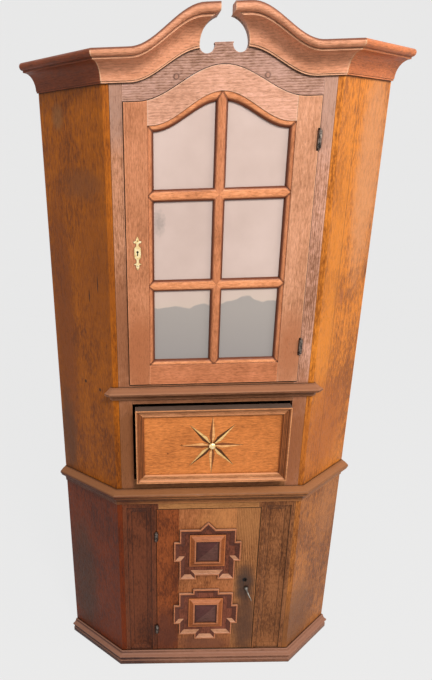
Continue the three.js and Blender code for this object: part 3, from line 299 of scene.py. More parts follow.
    dull_pores = calculated("MULTIPLY_ADD", pores, 0.15, gloss)
    rough = calculated("ADD", dull_pores, calculated("MULTIPLY", mottle, 0.12))
    relief = calculated("MULTIPLY_ADD", pores, -0.6, calculated("MULTIPLY", fibre, 0.4))
    relief = calculated("MULTIPLY_ADD", mottle, 0.6, relief)
    bump = add(tree, "ShaderNodeBump", {"Strength": 0.6, "Distance": 0.0008, "Height": relief})
    skin = add(tree, "ShaderNodeBsdfPrincipled", {"Base Color": shade, "Roughness": rough,
                                                  "Specular IOR Level": 0.2, "Normal": bump.outputs[0]})
    tree.links.new(skin.outputs[0], output.inputs["Surface"])
    return material


def link_piece(name, mesh, body, *replaced):
    """Adds a finished mesh to the scene on its body, in place of the named nodes."""
    piece = bpy.data.objects.new(name, mesh)
    scene.collection.objects.link(piece)
    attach(piece, body)
    if replaced:
        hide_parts(*replaced)


def applied(name, mesh, kind, settings):
    """The mesh with one modifier of the given kind and settings carried out."""
    holder = bpy.data.objects.new(name, mesh)
    scene.collection.objects.link(holder)
    modifier = holder.modifiers.new(kind.lower(), kind)
    for key, value in settings.items():
        if key in modifier.bl_rna.properties:
            setattr(modifier, key, value)
        else:
            modifier[key] = value
    shown = holder.evaluated_get(bpy.context.evaluated_depsgraph_get())
    made = bpy.data.meshes.new_from_object(shown)
    bpy.data.objects.remove(holder)
    made.name = name
    return made


def rubbed(node, width, finishes, body, flat=22, part=None, cuts=()):
    """Puts the node's own shape in its place, with its sharp edges rubbed round to the width and those under
    the flat angle smooth. Part gives the number of each face's finish, after the shape is cut on the upright
    planes at cuts."""
    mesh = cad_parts[node].data.copy()
    mesh.materials.clear()
    for finish in finishes if isinstance(finishes, tuple) else (finishes,):
        mesh.materials.append(finish)
    form = bmesh.new()
    form.from_mesh(mesh)
    bmesh.ops.remove_doubles(form, verts=form.verts, dist=2e-5)
    bmesh.ops.dissolve_limit(form, angle_limit=radians(0.8), verts=form.verts, edges=form.edges)
    for x in cuts:
        every = form.verts[:] + form.edges[:] + form.faces[:]
        bmesh.ops.bisect_plane(form, geom=every, dist=1e-6, plane_co=(x, 0, 0), plane_no=(1, 0, 0))
    for face in form.faces:
        face.material_index = part(face, face.calc_center_median()) if part else 0
    form.to_mesh(mesh)
    form.free()
    mesh.shade_smooth()
    mesh.set_sharp_from_angle(angle=radians(flat))
    edge = {"width": width, "segments": 2, "limit_method": "ANGLE", "angle_limit": radians(max(flat, 25)),
            "harden_normals": True, "use_clamp_overlap": True}
    link_piece(node + "_rubbed", applied(node + "_rubbed", mesh, "BEVEL", edge), body, node)


SIDE_ARRIS, BOARD_ARRIS, MOULDING_ARRIS = 0.0012, 0.0010, 0.0008
PANEL_ASIDE, PANEL_UP, PANEL_HALF_WIDE, PANEL_HALF_TALL, PANEL_MARGIN = 0.2445, 0.378, 0.043, 0.320, 0.017
sunk_panel = (PANEL_UP, PANEL_HALF_WIDE, PANEL_HALF_TALL, (0.0, PANEL_MARGIN))
base_left = oak("base_oak_left", (101, 38, 4), heart=(-0.1, 0.3), turn=45, contrast=1.3,
                marks=((-0.2, 0.3, 0.08, 0.3, (60, 42, 28), 0.6),))
base_right = oak("base_oak_right", (166, 100, 46), heart=(-0.1, 0.2), turn=-45, contrast=1.5,
                 marks=((0.05, 0.15, 0.12, 0.2, (112, 72, 46), 0.6),
                        (0.2, 0.6, 0.08, 0.16, (186, 120, 70), 0.5)))
# The pilasters' sunk panels are edged with dark lines of painted shade.
pilaster_left = oak("pilaster_oak_left", (101, 52, 29), heart=(0.03, 0.24), contrast=1.6,
                    lines=((-PANEL_ASIDE, *sunk_panel),))
pilaster_right = oak("pilaster_oak_right", (137, 85, 49), heart=(0.05, -0.21), contrast=1.6,
                     lines=((PANEL_ASIDE, *sunk_panel),))
base_rail = oak("base_rail_oak", (170, 115, 67), "X", (0.05, 0.7))
inside_oak = oak("inside_oak", (140, 108, 76), "X", (0.1, 0.3), gloss=0.7, dust_and_sheen=0.2)
rubbed("base_side_left", SIDE_ARRIS, base_left, "case")
rubbed("base_side_right", SIDE_ARRIS, base_right, "case")
rubbed("base_pilaster_left", MOULDING_ARRIS, pilaster_left, "case", flat=12)
rubbed("base_pilaster_right", MOULDING_ARRIS, pilaster_right, "case", flat=12)
rubbed("base_top_rail", BOARD_ARRIS, base_rail, "case")
for board in ("base_floor", "base_shelf", "base_top_board"):
    rubbed(board, BOARD_ARRIS, inside_oak, "case")


# Plinth and waist moulding. Lengths of moulded oak, mitred at the two canted corners and nailed on. Their
# left ends are darker, and the grooves between the members are darkened with grime and painted shade, with
# dark lines of painted shade along the waist.
def middle_and_reach(node):
    """The middle of a node's box and half its size."""
    low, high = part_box(node)
    return (low + high) / 2, (high - low) / 2


def shade_lines_along(node, *shares):
    """Dark lines of painted shade that run the whole length of a level moulding, at these shares of half its
    height.
    """
    middle, reach = middle_and_reach(node)
    past_both_ends = 5
    return ((0, middle.z, past_both_ends, reach.z, [reach.z * share for share in shares]),)


plinth_oak = oak("plinth_oak", (146, 98, 74), "X", (0.03, 0.4), wear_and_highlight=0.7, dust_and_sheen=0.8,
                 marks=((-0.5, 0.03, 0.38, 0.2, (70, 42, 37), 1.0),))
waist_oak = oak("waist_oak", (145, 90, 49), "X", (0.04, -0.5), wear_and_highlight=0.7, dust_and_sheen=0.7,
                marks=((-0.55, 0.76, 0.42, 0.2, (88, 42, 23), 0.95),),
                lines=shade_lines_along("waist_moulding", 0.45, 0.75))
rubbed("plinth", SIDE_ARRIS, plinth_oak, "case")
rubbed("waist_moulding", MOULDING_ARRIS, waist_oak, "case")


# Lower door. A leaf of three glued oak boards, with two stepped frames of moulded strips pinned on round
# raised blocks. The ground inside the frames is darker, and the lock's iron has stained the right board.
def shade_lines_round(node, *insets):
    """Dark lines of painted shade inside the outline of a node, at these insets from its edge."""
    middle, reach = middle_and_reach(node)
    return ((middle.x, middle.z, reach.x, reach.z, insets),)


LEAF_JOINTS = (-0.103, 0.100)
LEAF_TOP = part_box("panel_door")[1][2]
KEYHOLE = (0.142, 0.383)
# The keyhole's near black round its opening is painted shade.
IRON_STAIN, KEYHOLE_SHADE = (58, 48, 44), (14, 10, 9)
# A dark line of painted shade runs round the leaf's edge.
leaf_edge = shade_lines_round("panel_door", 0.0)
# The marks darken each board near its foot, as painted shade, and pale the middle and right boards near the
# top.
leaf_left = oak("leaf_oak_left", (135, 68, 31), contrast=1.5, lines=leaf_edge, heart=(0.03, 0.12),
                marks=((-0.15, 0.12, 0.06, 0.14, (96, 50, 36), 0.7),))
leaf_middle = oak("leaf_oak_middle", (165, 100, 58), contrast=1.0, lines=leaf_edge, heart=(0.05, -0.05),
                  marks=((0.05, LEAF_TOP - 0.05, 0.10, 0.07, (206, 138, 82), 0.7),
                         (0.0, 0.08, 0.12, 0.05, (120, 72, 52), 0.8)))
leaf_right = oak("leaf_oak_right", (162, 105, 61), figure=0.9, contrast=1.6, lines=leaf_edge,
                 heart=(0.02, -0.20),
                 marks=((KEYHOLE[0], KEYHOLE[1] - 0.018, 0.040, 0.095, IRON_STAIN, 0.85),
                        (*KEYHOLE, 0.009, 0.010, KEYHOLE_SHADE, 1.4),
                        (0.150, 0.17, 0.05, 0.17, (84, 56, 44), 0.8),
                        (0.145, LEAF_TOP - 0.06, 0.05, 0.10, (184, 124, 74), 0.6)))
ground_oak = oak("ground_oak", (122, 66, 46), heart=(0.05, 0.3), contrast=1.4)
ridge_and_lit_bevel_oak = oak("ridge_and_lit_bevel_oak", (182, 112, 74), "X", (0.02, 0.2), grime_and_shade=0.2)
# Painted shade and light: the strips' flanks take a dark tint, and the flanks that face up a pale one.
strip_shaded_oak = oak("strip_shaded_oak", (104, 58, 44), "X", (0.02, 0.25), wear_and_highlight=0.2)
strip_lit_oak = oak("strip_lit_oak", (190, 134, 100), "X", (0.02, 0.3), wear_and_highlight=0.4, grime_and_shade=0.5)
FRAME_REACH = 0.105
FRAMES_FROM_TO = ((0.118, 0.334), (0.398, 0.630))
STRIP_FOOT, RIDGE_FOOT = FRONT - 0.0002, FRONT - 0.006


def leaf_part(face, spot):
    """0 to 2 for the boards, 3 for the ground in the frames, 4 for the strips' ridge, 5 for their flanks,
    painted dark as in shade, and 6 for the flanks that face up, painted pale as if lit."""
    if spot.y < STRIP_FOOT:
        faces_out, faces_up = face.normal.y < -0.97, face.normal.z > 0.15
        if faces_out and spot.y < RIDGE_FOOT:
            return 4
        return 6 if faces_up else 5
    heights = [vert.co.z for vert in face.verts]
    widest = max(abs(vert.co.x) for vert in face.verts)
    on_the_leaf = abs(spot.y - FRONT) < 0.0005
    in_a_frame = any(foot < min(heights) and max(heights) < top for foot, top in FRAMES_FROM_TO)
    if on_the_leaf and widest < FRAME_REACH and in_a_frame:
        return 3
    return sum(spot.x > joint for joint in LEAF_JOINTS)


leaf_finishes = (leaf_left, leaf_middle, leaf_right, ground_oak, ridge_and_lit_bevel_oak, strip_shaded_oak, strip_lit_oak)
STRIP_ARRIS = 0.0005
rubbed("panel_door", STRIP_ARRIS, leaf_finishes, "lower_door", flat=12, part=leaf_part, cuts=LEAF_JOINTS)

# Raised blocks. Two square blocks of oak in the stepped frames, with a bevel round a flat rim, and a middle
# in four low facets that is stained dark.
block_oak = oak("block_oak", (160, 88, 44), "X", (0.03, 0.3), wear_and_highlight=0.8, dust_and_sheen=0.9)
# Painted light and shade: the stained middle comes in a darker and a paler copy, given to its facets by the
# way they lean.
block_middle_shaded = oak("block_stained_shaded_oak", (88, 50, 46), "X", (0.03, 0.4), wear_and_highlight=0.2, dust_and_sheen=0.2)
block_middle_lit = oak("block_stained_lit_oak", (102, 66, 58), "X", (0.03, 0.5), wear_and_highlight=0.2, dust_and_sheen=0.2)
block_finishes = (block_oak, ridge_and_lit_bevel_oak, block_middle_shaded, block_middle_lit)
RIM_INSET, MIDDLE_INSET = 0.012, 0.0228
for place in ("upper", "lower"):
    middle, reach = middle_and_reach("raised_block_" + place)

    def block_part(face, spot, middle=middle, reach=reach):
        """0 for the bevels, 1 for the flat rim and for the upper bevel, which takes the paler ridge tint as
        painted light, 2 for the middle's other facets, painted dark as in shade, and 3 for those that lean
        right or down, painted pale as if lit."""
        inset = min(reach.x - abs(spot.x - middle.x), reach.z - abs(spot.z - middle.z))
        faces_aside, faces_out, faces_up = face.normal.y > -0.3, face.normal.y < -0.985, face.normal.z > 0.2
        leans_right_or_down = face.normal.x > 0.02 or face.normal.z < -0.02
        if faces_aside:
            return 0
        if faces_out and RIM_INSET < inset < MIDDLE_INSET + 0.001:
            return 1
        if inset < MIDDLE_INSET:
            return int(faces_up)
        return 3 if leans_right_or_down else 2

    rubbed("raised_block_" + place, STRIP_ARRIS, block_finishes, "lower_door", flat=8, part=block_part)

# Upper case. Canted sides of oak boards, greyed front stiles, a frieze that follows the cornice, a rail
# with its moulding over the drawer, and boards inside. Pegged and glued, with old knocks and nail holes.
PIN_HOLE = (40, 22, 14)
SCRATCH = (48, 24, 14)
NAIL_HOLE = (70, 36, 22)
side_left = oak("side_oak_left", (158, 84, 14), heart=(-0.1, 0.15), turn=45, contrast=1.0,
                marks=((-0.19, 1.93, 0.028, 0.038, (120, 94, 66), 0.45),
                       (-0.05, 1.50, 0.09, 0.22, (150, 80, 20), 0.6),
                       (-0.22, 1.30, 0.06, 0.5, (116, 58, 24), 0.6),
                       (-0.13, 1.14, 0.006, 0.007, PIN_HOLE, 0.9),
                       (-0.06, 1.125, 0.006, 0.007, PIN_HOLE, 0.9),
                       (-0.05, 1.47, 0.003, 0.03, SCRATCH, 0.9),
                       (-0.09, 1.43, 0.003, 0.022, SCRATCH, 0.9),
                       (-0.24, 0.9, 0.05, 0.2, (88, 56, 36), 0.7),
                       (-0.10, 1.75, 0.10, 0.05, (108, 66, 40), 0.5)))
side_right = oak("side_oak_right", (192, 112, 38), heart=(-0.1, 0.15), turn=-45, contrast=1.4,
                 joints=(0.085,),
                 marks=((0.05, 1.45, 0.06, 0.45, (218, 132, 46), 0.7),
                        (0.20, 1.75, 0.09, 0.35, (212, 146, 98), 0.7),
                        (0.10, 0.95, 0.16, 0.2, (176, 97, 38), 0.7),
                        (0.255, 1.60, 0.004, 0.012, NAIL_HOLE, 0.9),
                        (0.262, 1.46, 0.004, 0.010, NAIL_HOLE, 0.9),
                        (0.12, 1.40, 0.012, 0.03, (170, 100, 58), 0.7)))
stile_left_oak = oak("stile_oak_left", (182, 124, 90), heart=(0.03, 0.28), figure=0.25, contrast=1.2,
                     marks=((-0.28, 0.93, 0.08, 0.26, (142, 88, 52), 0.95),
                            (-0.29, 1.95, 0.06, 0.12, (170, 134, 118), 0.7),
                            (-0.28, 1.33, 0.06, 0.22, (146, 90, 58), 0.8)))
stile_right_oak = oak("stile_oak_right", (190, 138, 112), heart=(0.03, -0.28), figure=0.25, contrast=1.2,
                      marks=((0.28, 0.93, 0.08, 0.26, (158, 98, 62), 0.95),
                             (0.29, 1.95, 0.06, 0.15, (176, 140, 124), 0.6)))
PEG_LEFT, PEG_RIGHT = (-0.123, 2.007), (0.117, 2.003)
PEG_RING = (84, 54, 44)
frieze_oak = oak("frieze_oak", (172, 130, 110), "X", (0.03, 0.4), figure=0.45, contrast=1.3,
                 marks=((*PEG_LEFT, 0.009, 0.009, PEG_RING, 1.0),
                        (*PEG_RIGHT, 0.009, 0.009, PEG_RING, 1.0)))
# Dark lines of painted shade run along the middle moulding.
middle_oak = oak("middle_moulding_oak", (147, 95, 63), "X", (0.03, 0.35), wear_and_highlight=0.8, dust_and_sheen=0.8,
                 lines=shade_lines_along("middle_moulding", 0.5, 0.8))
drawer_rail = oak("drawer_rail_oak", (140, 92, 56), "X", (0.03, 0.9))
RAIL_BACK = FRONT + 0.01


def floor_part(face, spot):
    """0 for the floor over the base and 1 for the rail under the drawer, which is in one with it."""
    return int(spot.y < RAIL_BACK)


rubbed("upper_side_left", SIDE_ARRIS, side_left, "case")
rubbed("upper_side_right", SIDE_ARRIS, side_right, "case")
rubbed("upper_stile_left", BOARD_ARRIS, stile_left_oak, "case")
rubbed("upper_stile_right", BOARD_ARRIS, stile_right_oak, "case")
rubbed("frieze", BOARD_ARRIS, frieze_oak, "case", flat=30)
rubbed("middle_rail", BOARD_ARRIS, middle_oak, "case")
rubbed("middle_moulding", MOULDING_ARRIS, middle_oak, "case")
rubbed("upper_floor", BOARD_ARRIS, (inside_oak, drawer_rail), "case", part=floor_part)
for board in ("glazed_section_floor", "upper_top_board", "upper_shelf_1", "upper_shelf_2"):
    rubbed(board, BOARD_ARRIS, inside_oak, "case")

# Cornice. A cove under a torus, worked in oak. The front lengths rise as two swan necks, carved to the curve,
# and are mitred to level returns along the canted sides. The necks' upper faces are painted darker, as
# painted shade.
neck_oak = oak("neck_oak", (223, 153, 116), "X", (0.0, 1.9), figure=0.25, dust_and_sheen=0.0, top_shade=0.9, contrast=0.5)
return_left = oak("return_oak_left", (130, 65, 37), "X", (0.0, 1.8), turn=45)
return_right = oak("return_oak_right", (204, 118, 71), "X", (0.0, 1.7), turn=-45)
for side, finish in (("left", return_left), ("right", return_right)):
    rubbed("cornice_neck_" + side, MOULDING_ARRIS, neck_oak, "case", flat=25)
    rubbed("cornice_return_" + side, MOULDING_ARRIS, finish, "case", flat=25)


# Backs. Upright oak planks along both walls, left rough, butted edge to edge with their arrises taken off,
# and nailed to the shelves. Their upper ends aren't quite level.
def new_growth(name, **sizes):
    """An empty geometry tree that takes a shape and named sizes; gives the tree and its inputs."""
    tree = bpy.data.node_groups.new(name, "GeometryNodeTree")
    tree.interface.new_socket("Shape", in_out="INPUT", socket_type="NodeSocketGeometry")
    for title, kind in sizes.items():
        tree.interface.new_socket(title.replace("_", " "), in_out="INPUT", socket_type="NodeSocket" + kind)
    tree.interface.new_socket("Shape", in_out="OUTPUT", socket_type="NodeSocketGeometry")
    return tree, tree.nodes.new("NodeGroupInput").outputs


def grown(name, mesh, tree, shape, finish, **sizes):
    """Ends the tree with realized instances and a finish, and gives the mesh that it makes of this one."""
    real = add(tree, "GeometryNodeRealizeInstances", {0: shape})
    coated = add(tree, "GeometryNodeSetMaterial", {"Geometry": real.outputs[0], "Material": finish})
    tree.links.new(coated.outputs[0], tree.nodes.new("NodeGroupOutput").inputs[0])
    inputs = {item.name: item.identifier for item in tree.interface.items_tree if item.in_out == "INPUT"}
    settings = {"node_group": tree}
    settings.update({inputs[title.replace("_", " ")]: value for title, value in sizes.items()})
    return applied(name, mesh, "NODES", settings)


def squared_strip(name, wide, thick, tall, arris, foot=0.0):
    """A straight strip of wood on the given foot height, with its arrises taken off."""
    form = bmesh.new()
    bmesh.ops.create_cube(form, size=1.0)
    bmesh.ops.scale(form, vec=(wide, thick, tall), verts=form.verts)
    bmesh.ops.translate(form, vec=(0, 0, foot + tall / 2), verts=form.verts)
    bmesh.ops.bevel(form, geom=form.edges, offset=arris, segments=2, affect="EDGES")
    mesh = bpy.data.meshes.new(name)
    form.to_mesh(mesh)
    form.free()
    return mesh


back_oak = oak("back_oak", (150, 120, 88), gloss=0.75)
PLANKS = 6
PLANK_THICK, PLANK_ARRIS, PLANK_JOINT = 0.0146, 0.0015, 0.0001
SHORTEST_PLANK, PLANK_SEED = 0.994, 4
WALLS = (("left", (-0.4955, -0.1214), (-0.0055, 0.3686), 45),
         ("right", (-0.0053, 0.3794), (0.4955, -0.1214), -45))
for case in ("base", "upper"):
    for side, start, end, turn in WALLS:
        low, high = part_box(f"{case}_back_{side}")
        pace = (Vector(end) - Vector(start)) / PLANKS
        first = Vector(start) + pace / 2
        tree, sizes = new_growth(f"{case}_back_{side}", Planks="Int", First="Vector", Step="Vector",
                                 Turn="Float", Seed="Int")
        row = {"Count": sizes["Planks"], "Start Location": sizes["First"], "Offset": sizes["Step"]}
        feet = add(tree, "GeometryNodeMeshLine", row)
        about = add(tree, "ShaderNodeCombineXYZ", {"Z": sizes["Turn"]})
        lengths = add(tree, "FunctionNodeRandomValue", {2: SHORTEST_PLANK, 3: 1.0, "Seed": sizes["Seed"]},
                      data_type="FLOAT")
        cut = add(tree, "ShaderNodeCombineXYZ", {"X": 1.0, "Y": 1.0, "Z": lengths.outputs[1]})
        stood = {"Points": feet.outputs[0], "Instance": sizes["Shape"], "Rotation": about.outputs[0],
                 "Scale": cut.outputs[0]}
        planks = add(tree, "GeometryNodeInstanceOnPoints", stood)
        plank = squared_strip("plank", pace.length - PLANK_JOINT, PLANK_THICK, high.z - low.z, PLANK_ARRIS)
        made = grown(f"{case}_planks_{side}", plank, tree, planks.outputs[0], back_oak, Planks=PLANKS,
                     First=(*first, low.z), Step=(*pace, 0), Turn=radians(turn), Seed=PLANK_SEED)
        link_piece(f"{case}_planks_{side}", made, "case", f"{case}_back_{side}")

# Pegs. Two turned oak pegs that hold the frieze to the boards behind it, driven home and cut off nearly
# flush, so they stand 0.8 mm proud.
PEG_RADIUS, PEG_LONG, PEG_PROUD, PEG_ARRIS = 0.0055, 0.006, 0.0008, 0.0004
peg_oak = oak("peg_oak", (160, 116, 96), gloss=0.5, wear_and_highlight=0.2)
tree, sizes = new_growth("frieze_pegs", Pegs="Int", First="Vector", Step="Vector")
row = {"Count": sizes["Pegs"], "Start Location": sizes["First"], "Offset": sizes["Step"]}
holes = add(tree, "GeometryNodeMeshLine", row)
pegs = add(tree, "GeometryNodeInstanceOnPoints", {"Points": holes.outputs[0], "Instance": sizes["Shape"]})
form = bmesh.new()
bmesh.ops.create_cone(form, segments=20, radius1=PEG_RADIUS, radius2=PEG_RADIUS, depth=PEG_LONG,
                      cap_ends=True, matrix=Matrix.Rotation(radians(90), 4, "X"))
rims = [edge for edge in form.edges if edge.calc_face_angle(0) > 1]
bmesh.ops.bevel(form, geom=rims, offset=PEG_ARRIS, segments=2, affect="EDGES")
peg = bpy.data.meshes.new("peg")
form.to_mesh(peg)
form.free()
first = (PEG_LEFT[0], FRONT + PEG_LONG / 2 - PEG_PROUD, PEG_LEFT[1])
step = (PEG_RIGHT[0] - PEG_LEFT[0], 0, PEG_RIGHT[1] - PEG_LEFT[1])
made = grown("frieze_pegs", peg, tree, pegs.outputs[0], peg_oak, Pegs=2, First=first, Step=step)
link_piece("frieze_pegs", made, "case")

# Glazed door. Two oak stiles, an arched head and a sill, joined with pegged tenons, with a sight moulding
# mitred at the corners. The pointed glazing bars are let into it. The rounded sides of the bars and of the
# sight moulding are painted darker than their noses, as painted shade.
door_left_oak = oak("door_oak_left", (190, 123, 85), heart=(0.03, 0.27),
                    marks=((-0.233, 1.26, 0.06, 0.14, (176, 106, 68), 0.8),))
door_right_oak = oak("door_oak_right", (202, 142, 107), heart=(0.03, 0.22),
                     marks=((0.233, 1.26, 0.06, 0.14, (176, 110, 74), 0.8),))
door_head_oak = oak("door_head_oak", (211, 155, 127), "X", (0.02, -1.96), figure=0.25)
door_sill_oak = oak("door_sill_oak", (194, 120, 80), "X", (0.03, -1.2))
bar_oak = oak("bar_oak", (197, 124, 83), heart=(0.03, 0.1), figure=0.05, gloss=0.32, wear_and_highlight=0.1, edges=1.0)
cross_bar_oak = oak("cross_bar_oak", (226, 146, 98), "X", (0.03, 0.1), figure=0.05, gloss=0.32, wear_and_highlight=0.1,
                    edges=1.0)
DOOR_ARRIS, BAR_ARRIS = 0.0006, 0.0003
SIGHT_FRONT = FRONT - 0.0029
UPRIGHT_BAR_REACH = 0.0172


def sight_part(face, spot):
    """0 for the flat of a door member and 1 for its sight moulding."""
    faces_out = face.normal.y < -0.1
    return int(faces_out and spot.y > SIGHT_FRONT)


def bar_part(face, spot):
    """0 for the upright bar and 1 for the level ones."""
    return int(abs(spot.x) > UPRIGHT_BAR_REACH)


for member, finishes in (("stile_left", (door_left_oak, bar_oak)), ("stile_right", (door_right_oak, bar_oak)),
                         ("head", (door_head_oak, cross_bar_oak)), ("sill", (door_sill_oak, cross_bar_oak))):
    rubbed("glazed_door_" + member, DOOR_ARRIS, finishes, "glazed_door", part=sight_part)
rubbed("glazing_bars", BAR_ARRIS, (bar_oak, cross_bar_oak), "glazed_door", part=bar_part)

# Glass. Old hand-made panes behind the bars, painted with a reflection: a pale sky, a haze, and a grey land
# with a wavy top that rises to a hill on the right and lies thick and grey at the foot, so that the shelves
# hardly show.
glass, tree, output = new_material("glass_painted_reflection")
calculated, between, laid_over = hand_tools(tree)
place = add(tree, "ShaderNodeTexCoord").outputs["Object"]
split = add(tree, "ShaderNodeSeparateXYZ", {0: place}).outputs
pane_low, pane_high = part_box("door_glass")
# Painted reflection: the pale sky tint, the haze band above the land, the grey land paler upward, and the
# hill.
REFLECTED_LAND_TOP, REFLECTED_LAND_EDGE, REFLECTED_LAND_WAVES, REFLECTED_LAND_PALE_FROM = 0.22, 0.0040, 0.10, 0.16
REFLECTED_HILL_ASIDE, REFLECTED_HILL_REACH, REFLECTED_HILL_UP = 0.105, 0.10, 0.034
REFLECTED_HAZE_TOP = 0.29
SMEAR_LEFT, SMEAR_UP, SMEAR_HALF_WIDE, SMEAR_HALF_TALL = 0.169, 0.413, 0.016, 0.035
drift = add(tree, "ShaderNodeTexNoise", {"Vector": place, "Scale": 5.0, "Detail": 4.0, "Roughness": 0.55})
REFLECTED_SKY_DEEP, REFLECTED_SKY_PALE = colour(199, 175, 165), colour(214, 191, 182)
reflected_sky = two_tints(tree, drift.outputs["Fac"], 0.3, REFLECTED_SKY_DEEP, 0.7, REFLECTED_SKY_PALE).outputs[0]
waves = add(tree, "ShaderNodeTexNoise", {"Vector": place, "Scale": 9.0, "Detail": 2.5, "Roughness": 0.45})
beside = calculated("ABSOLUTE", calculated("SUBTRACT", split["X"], REFLECTED_HILL_ASIDE))
reflected_hill = between(beside, REFLECTED_HILL_REACH, 0.0, 0.0, REFLECTED_HILL_UP, "LINEAR")
wavy = calculated("MULTIPLY_ADD", waves.outputs["Fac"], REFLECTED_LAND_WAVES, split["Z"])
level = calculated("SUBTRACT", wavy, reflected_hill)
reflected_hazy = between(level, pane_low.z + REFLECTED_HAZE_TOP, pane_low.z + REFLECTED_LAND_TOP, 0.0, 0.7, "LINEAR")
reflected_haze = laid_over(reflected_sky, reflected_hazy, colour(206, 188, 174))
up_the_reflected_land = between(split["Z"], pane_low.z, pane_low.z + REFLECTED_LAND_PALE_FROM, 0.0, 1.0, "LINEAR")
reflected_land = laid_over(colour(146, 142, 141), up_the_reflected_land, colour(160, 154, 150))
reflected_land_line = pane_low.z + REFLECTED_LAND_TOP + REFLECTED_LAND_EDGE / 8
on_reflected_land = between(level, reflected_land_line, reflected_land_line - REFLECTED_LAND_EDGE, 0.0, 0.9, "LINEAR")
across = calculated("DIVIDE", calculated("ADD", split["X"], SMEAR_LEFT), SMEAR_HALF_WIDE)
upward = calculated("DIVIDE", calculated("SUBTRACT", split["Z"], pane_low.z + SMEAR_UP), SMEAR_HALF_TALL)
smear = calculated("ADD", calculated("MULTIPLY", across, across), calculated("MULTIPLY", upward, upward))
speckle = add(tree, "ShaderNodeTexNoise", {"Vector": place, "Scale": 120.0, "Detail": 3.0}).outputs["Fac"]
smeared = between(calculated("MULTIPLY_ADD", speckle, 2.2, smear), 2.6, 1.0, 0.0, 0.5, "LINEAR")
tint = laid_over(laid_over(reflected_haze, on_reflected_land, reflected_land), smeared, colour(140, 130, 124))
skin = add(tree, "ShaderNodeBsdfPrincipled", {"Base Color": tint, "Roughness": 0.14})
tree.links.new(skin.outputs[0], output.inputs["Surface"])
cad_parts["door_glass"].data.materials.clear()
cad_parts["door_glass"].data.materials.append(glass)

# Pane laths. Thin oak laths behind the panes, pinned on the lines of the glazing bars to hold the glass.
# They show when the door stands open.
BAR_HEIGHTS = (1.4645, 1.7155)
LATH_WIDE, LATH_THICK, LATH_ARRIS = 0.012, 0.005, 0.0008
LATH_OFF_GLASS = 0.0002
half_span = pane_high.x - LATH_WIDE / 2
level_long, upright_long = half_span - 0.001, pane_high.z - pane_low.z - 0.003
bars_apart, bars_middle = BAR_HEIGHTS[1] - BAR_HEIGHTS[0], sum(BAR_HEIGHTS) / 2
panes_middle = (pane_low.z + pane_high.z) / 2
lath_set = (("level", level_long, LATH_WIDE, half_span + LATH_WIDE, bars_apart, 2, 2, bars_middle),
            ("upright", LATH_WIDE, upright_long, 0.0, 0.0, 1, 1, panes_middle))
for way, wide, tall, across, up, columns, rows, height in lath_set:
    name = "pane_fillets_" + way
    tree, sizes = new_growth(name, Across="Float", Up="Float", Columns="Int", Rows="Int", Centre="Vector")
    spread = {"Size X": sizes["Across"], "Size Y": sizes["Up"], "Vertices X": sizes["Columns"],
              "Vertices Y": sizes["Rows"]}
    lattice = add(tree, "GeometryNodeMeshGrid", spread)
    raised = {"Geometry": lattice.outputs[0], "Rotation": (pi / 2, 0, 0), "Translation": sizes["Centre"]}
    stood = add(tree, "GeometryNodeTransform", raised)
    pinned = {"Points": stood.outputs[0], "Instance": sizes["Shape"]}
    laths = add(tree, "GeometryNodeInstanceOnPoints", pinned)
    lath = squared_strip("lath", wide, LATH_THICK, tall, LATH_ARRIS, -tall / 2)
    centre = (0.0, pane_high.y + LATH_THICK / 2 + LATH_OFF_GLASS, height)
    made = grown(name, lath, tree, laths.outputs[0], bar_oak, Across=across, Up=up, Columns=columns,
                 Rows=rows, Centre=centre)
    link_piece(name, made, "glazed_door")


# Hinges and locks. Forged iron. Each hinge has a leaf and knuckle on the frame and one on the door, screwed
# on, and each lock is a case on the door's inside with a bolt that slides behind the frame.
def metal(name, deep, pale, rough):
    """Metal with a clouded surface, from the deep tint to the pale one."""
    material, tree, output = new_material(name)
    place = add(tree, "ShaderNodeTexCoord").outputs["Object"]
    clouds = {"Vector": place, "Scale": 130.0, "Detail": 5.0, "Roughness": 0.65}
    worn = add(tree, "ShaderNodeTexNoise", clouds).outputs["Fac"]
    tints = two_tints(tree, worn, 0.35, colour(*deep), 0.68, colour(*pale))
    gloss = add(tree, "ShaderNodeMapRange", {"Value": worn, "To Min": rough - 0.12, "To Max": rough + 0.2})
    bump = add(tree, "ShaderNodeBump", {"Strength": 0.4, "Distance": 0.0005, "Height": worn})
    skin = add(tree, "ShaderNodeBsdfPrincipled", {"Base Color": tints.outputs[0], "Metallic": 1.0,
                                                  "Roughness": gloss.outputs[0], "Normal": bump.outputs[0]})
    tree.links.new(skin.outputs[0], output.inputs["Surface"])
    return material


METAL_ARRIS, LOCK_ARRIS, BOLT_ARRIS = 0.0003, 0.0005, 0.0004
iron = metal("forged_iron", (26, 22, 20), (150, 136, 126), 0.32)
for number in (1, 2):
    rubbed(f"upper_hinge_{number}_case", METAL_ARRIS, iron, "case", flat=35)
    rubbed(f"lower_hinge_{number}_case", METAL_ARRIS, iron, "case", flat=35)
    rubbed(f"upper_hinge_{number}_door", METAL_ARRIS, iron, "glazed_door", flat=35)
    rubbed(f"lower_hinge_{number}_door", METAL_ARRIS, iron, "lower_door", flat=35)
rubbed("upper_lock_case", LOCK_ARRIS, iron, "glazed_door")
rubbed("lower_lock_case", LOCK_ARRIS, iron, "lower_door")
rubbed("upper_lock_bolt", BOLT_ARRIS, iron, "upper_bolt")
rubbed("lower_lock_bolt", BOLT_ARRIS, iron, "lower_bolt")

# Turn handle. A small steel lever on a spindle through the lower door, bright from use. Its finger behind
# the door catches the frame.
steel = metal("worn_steel", (72, 66, 60), (150, 144, 136), 0.45)
rubbed("turn_handle", METAL_ARRIS, steel, "turn_handle", flat=40)

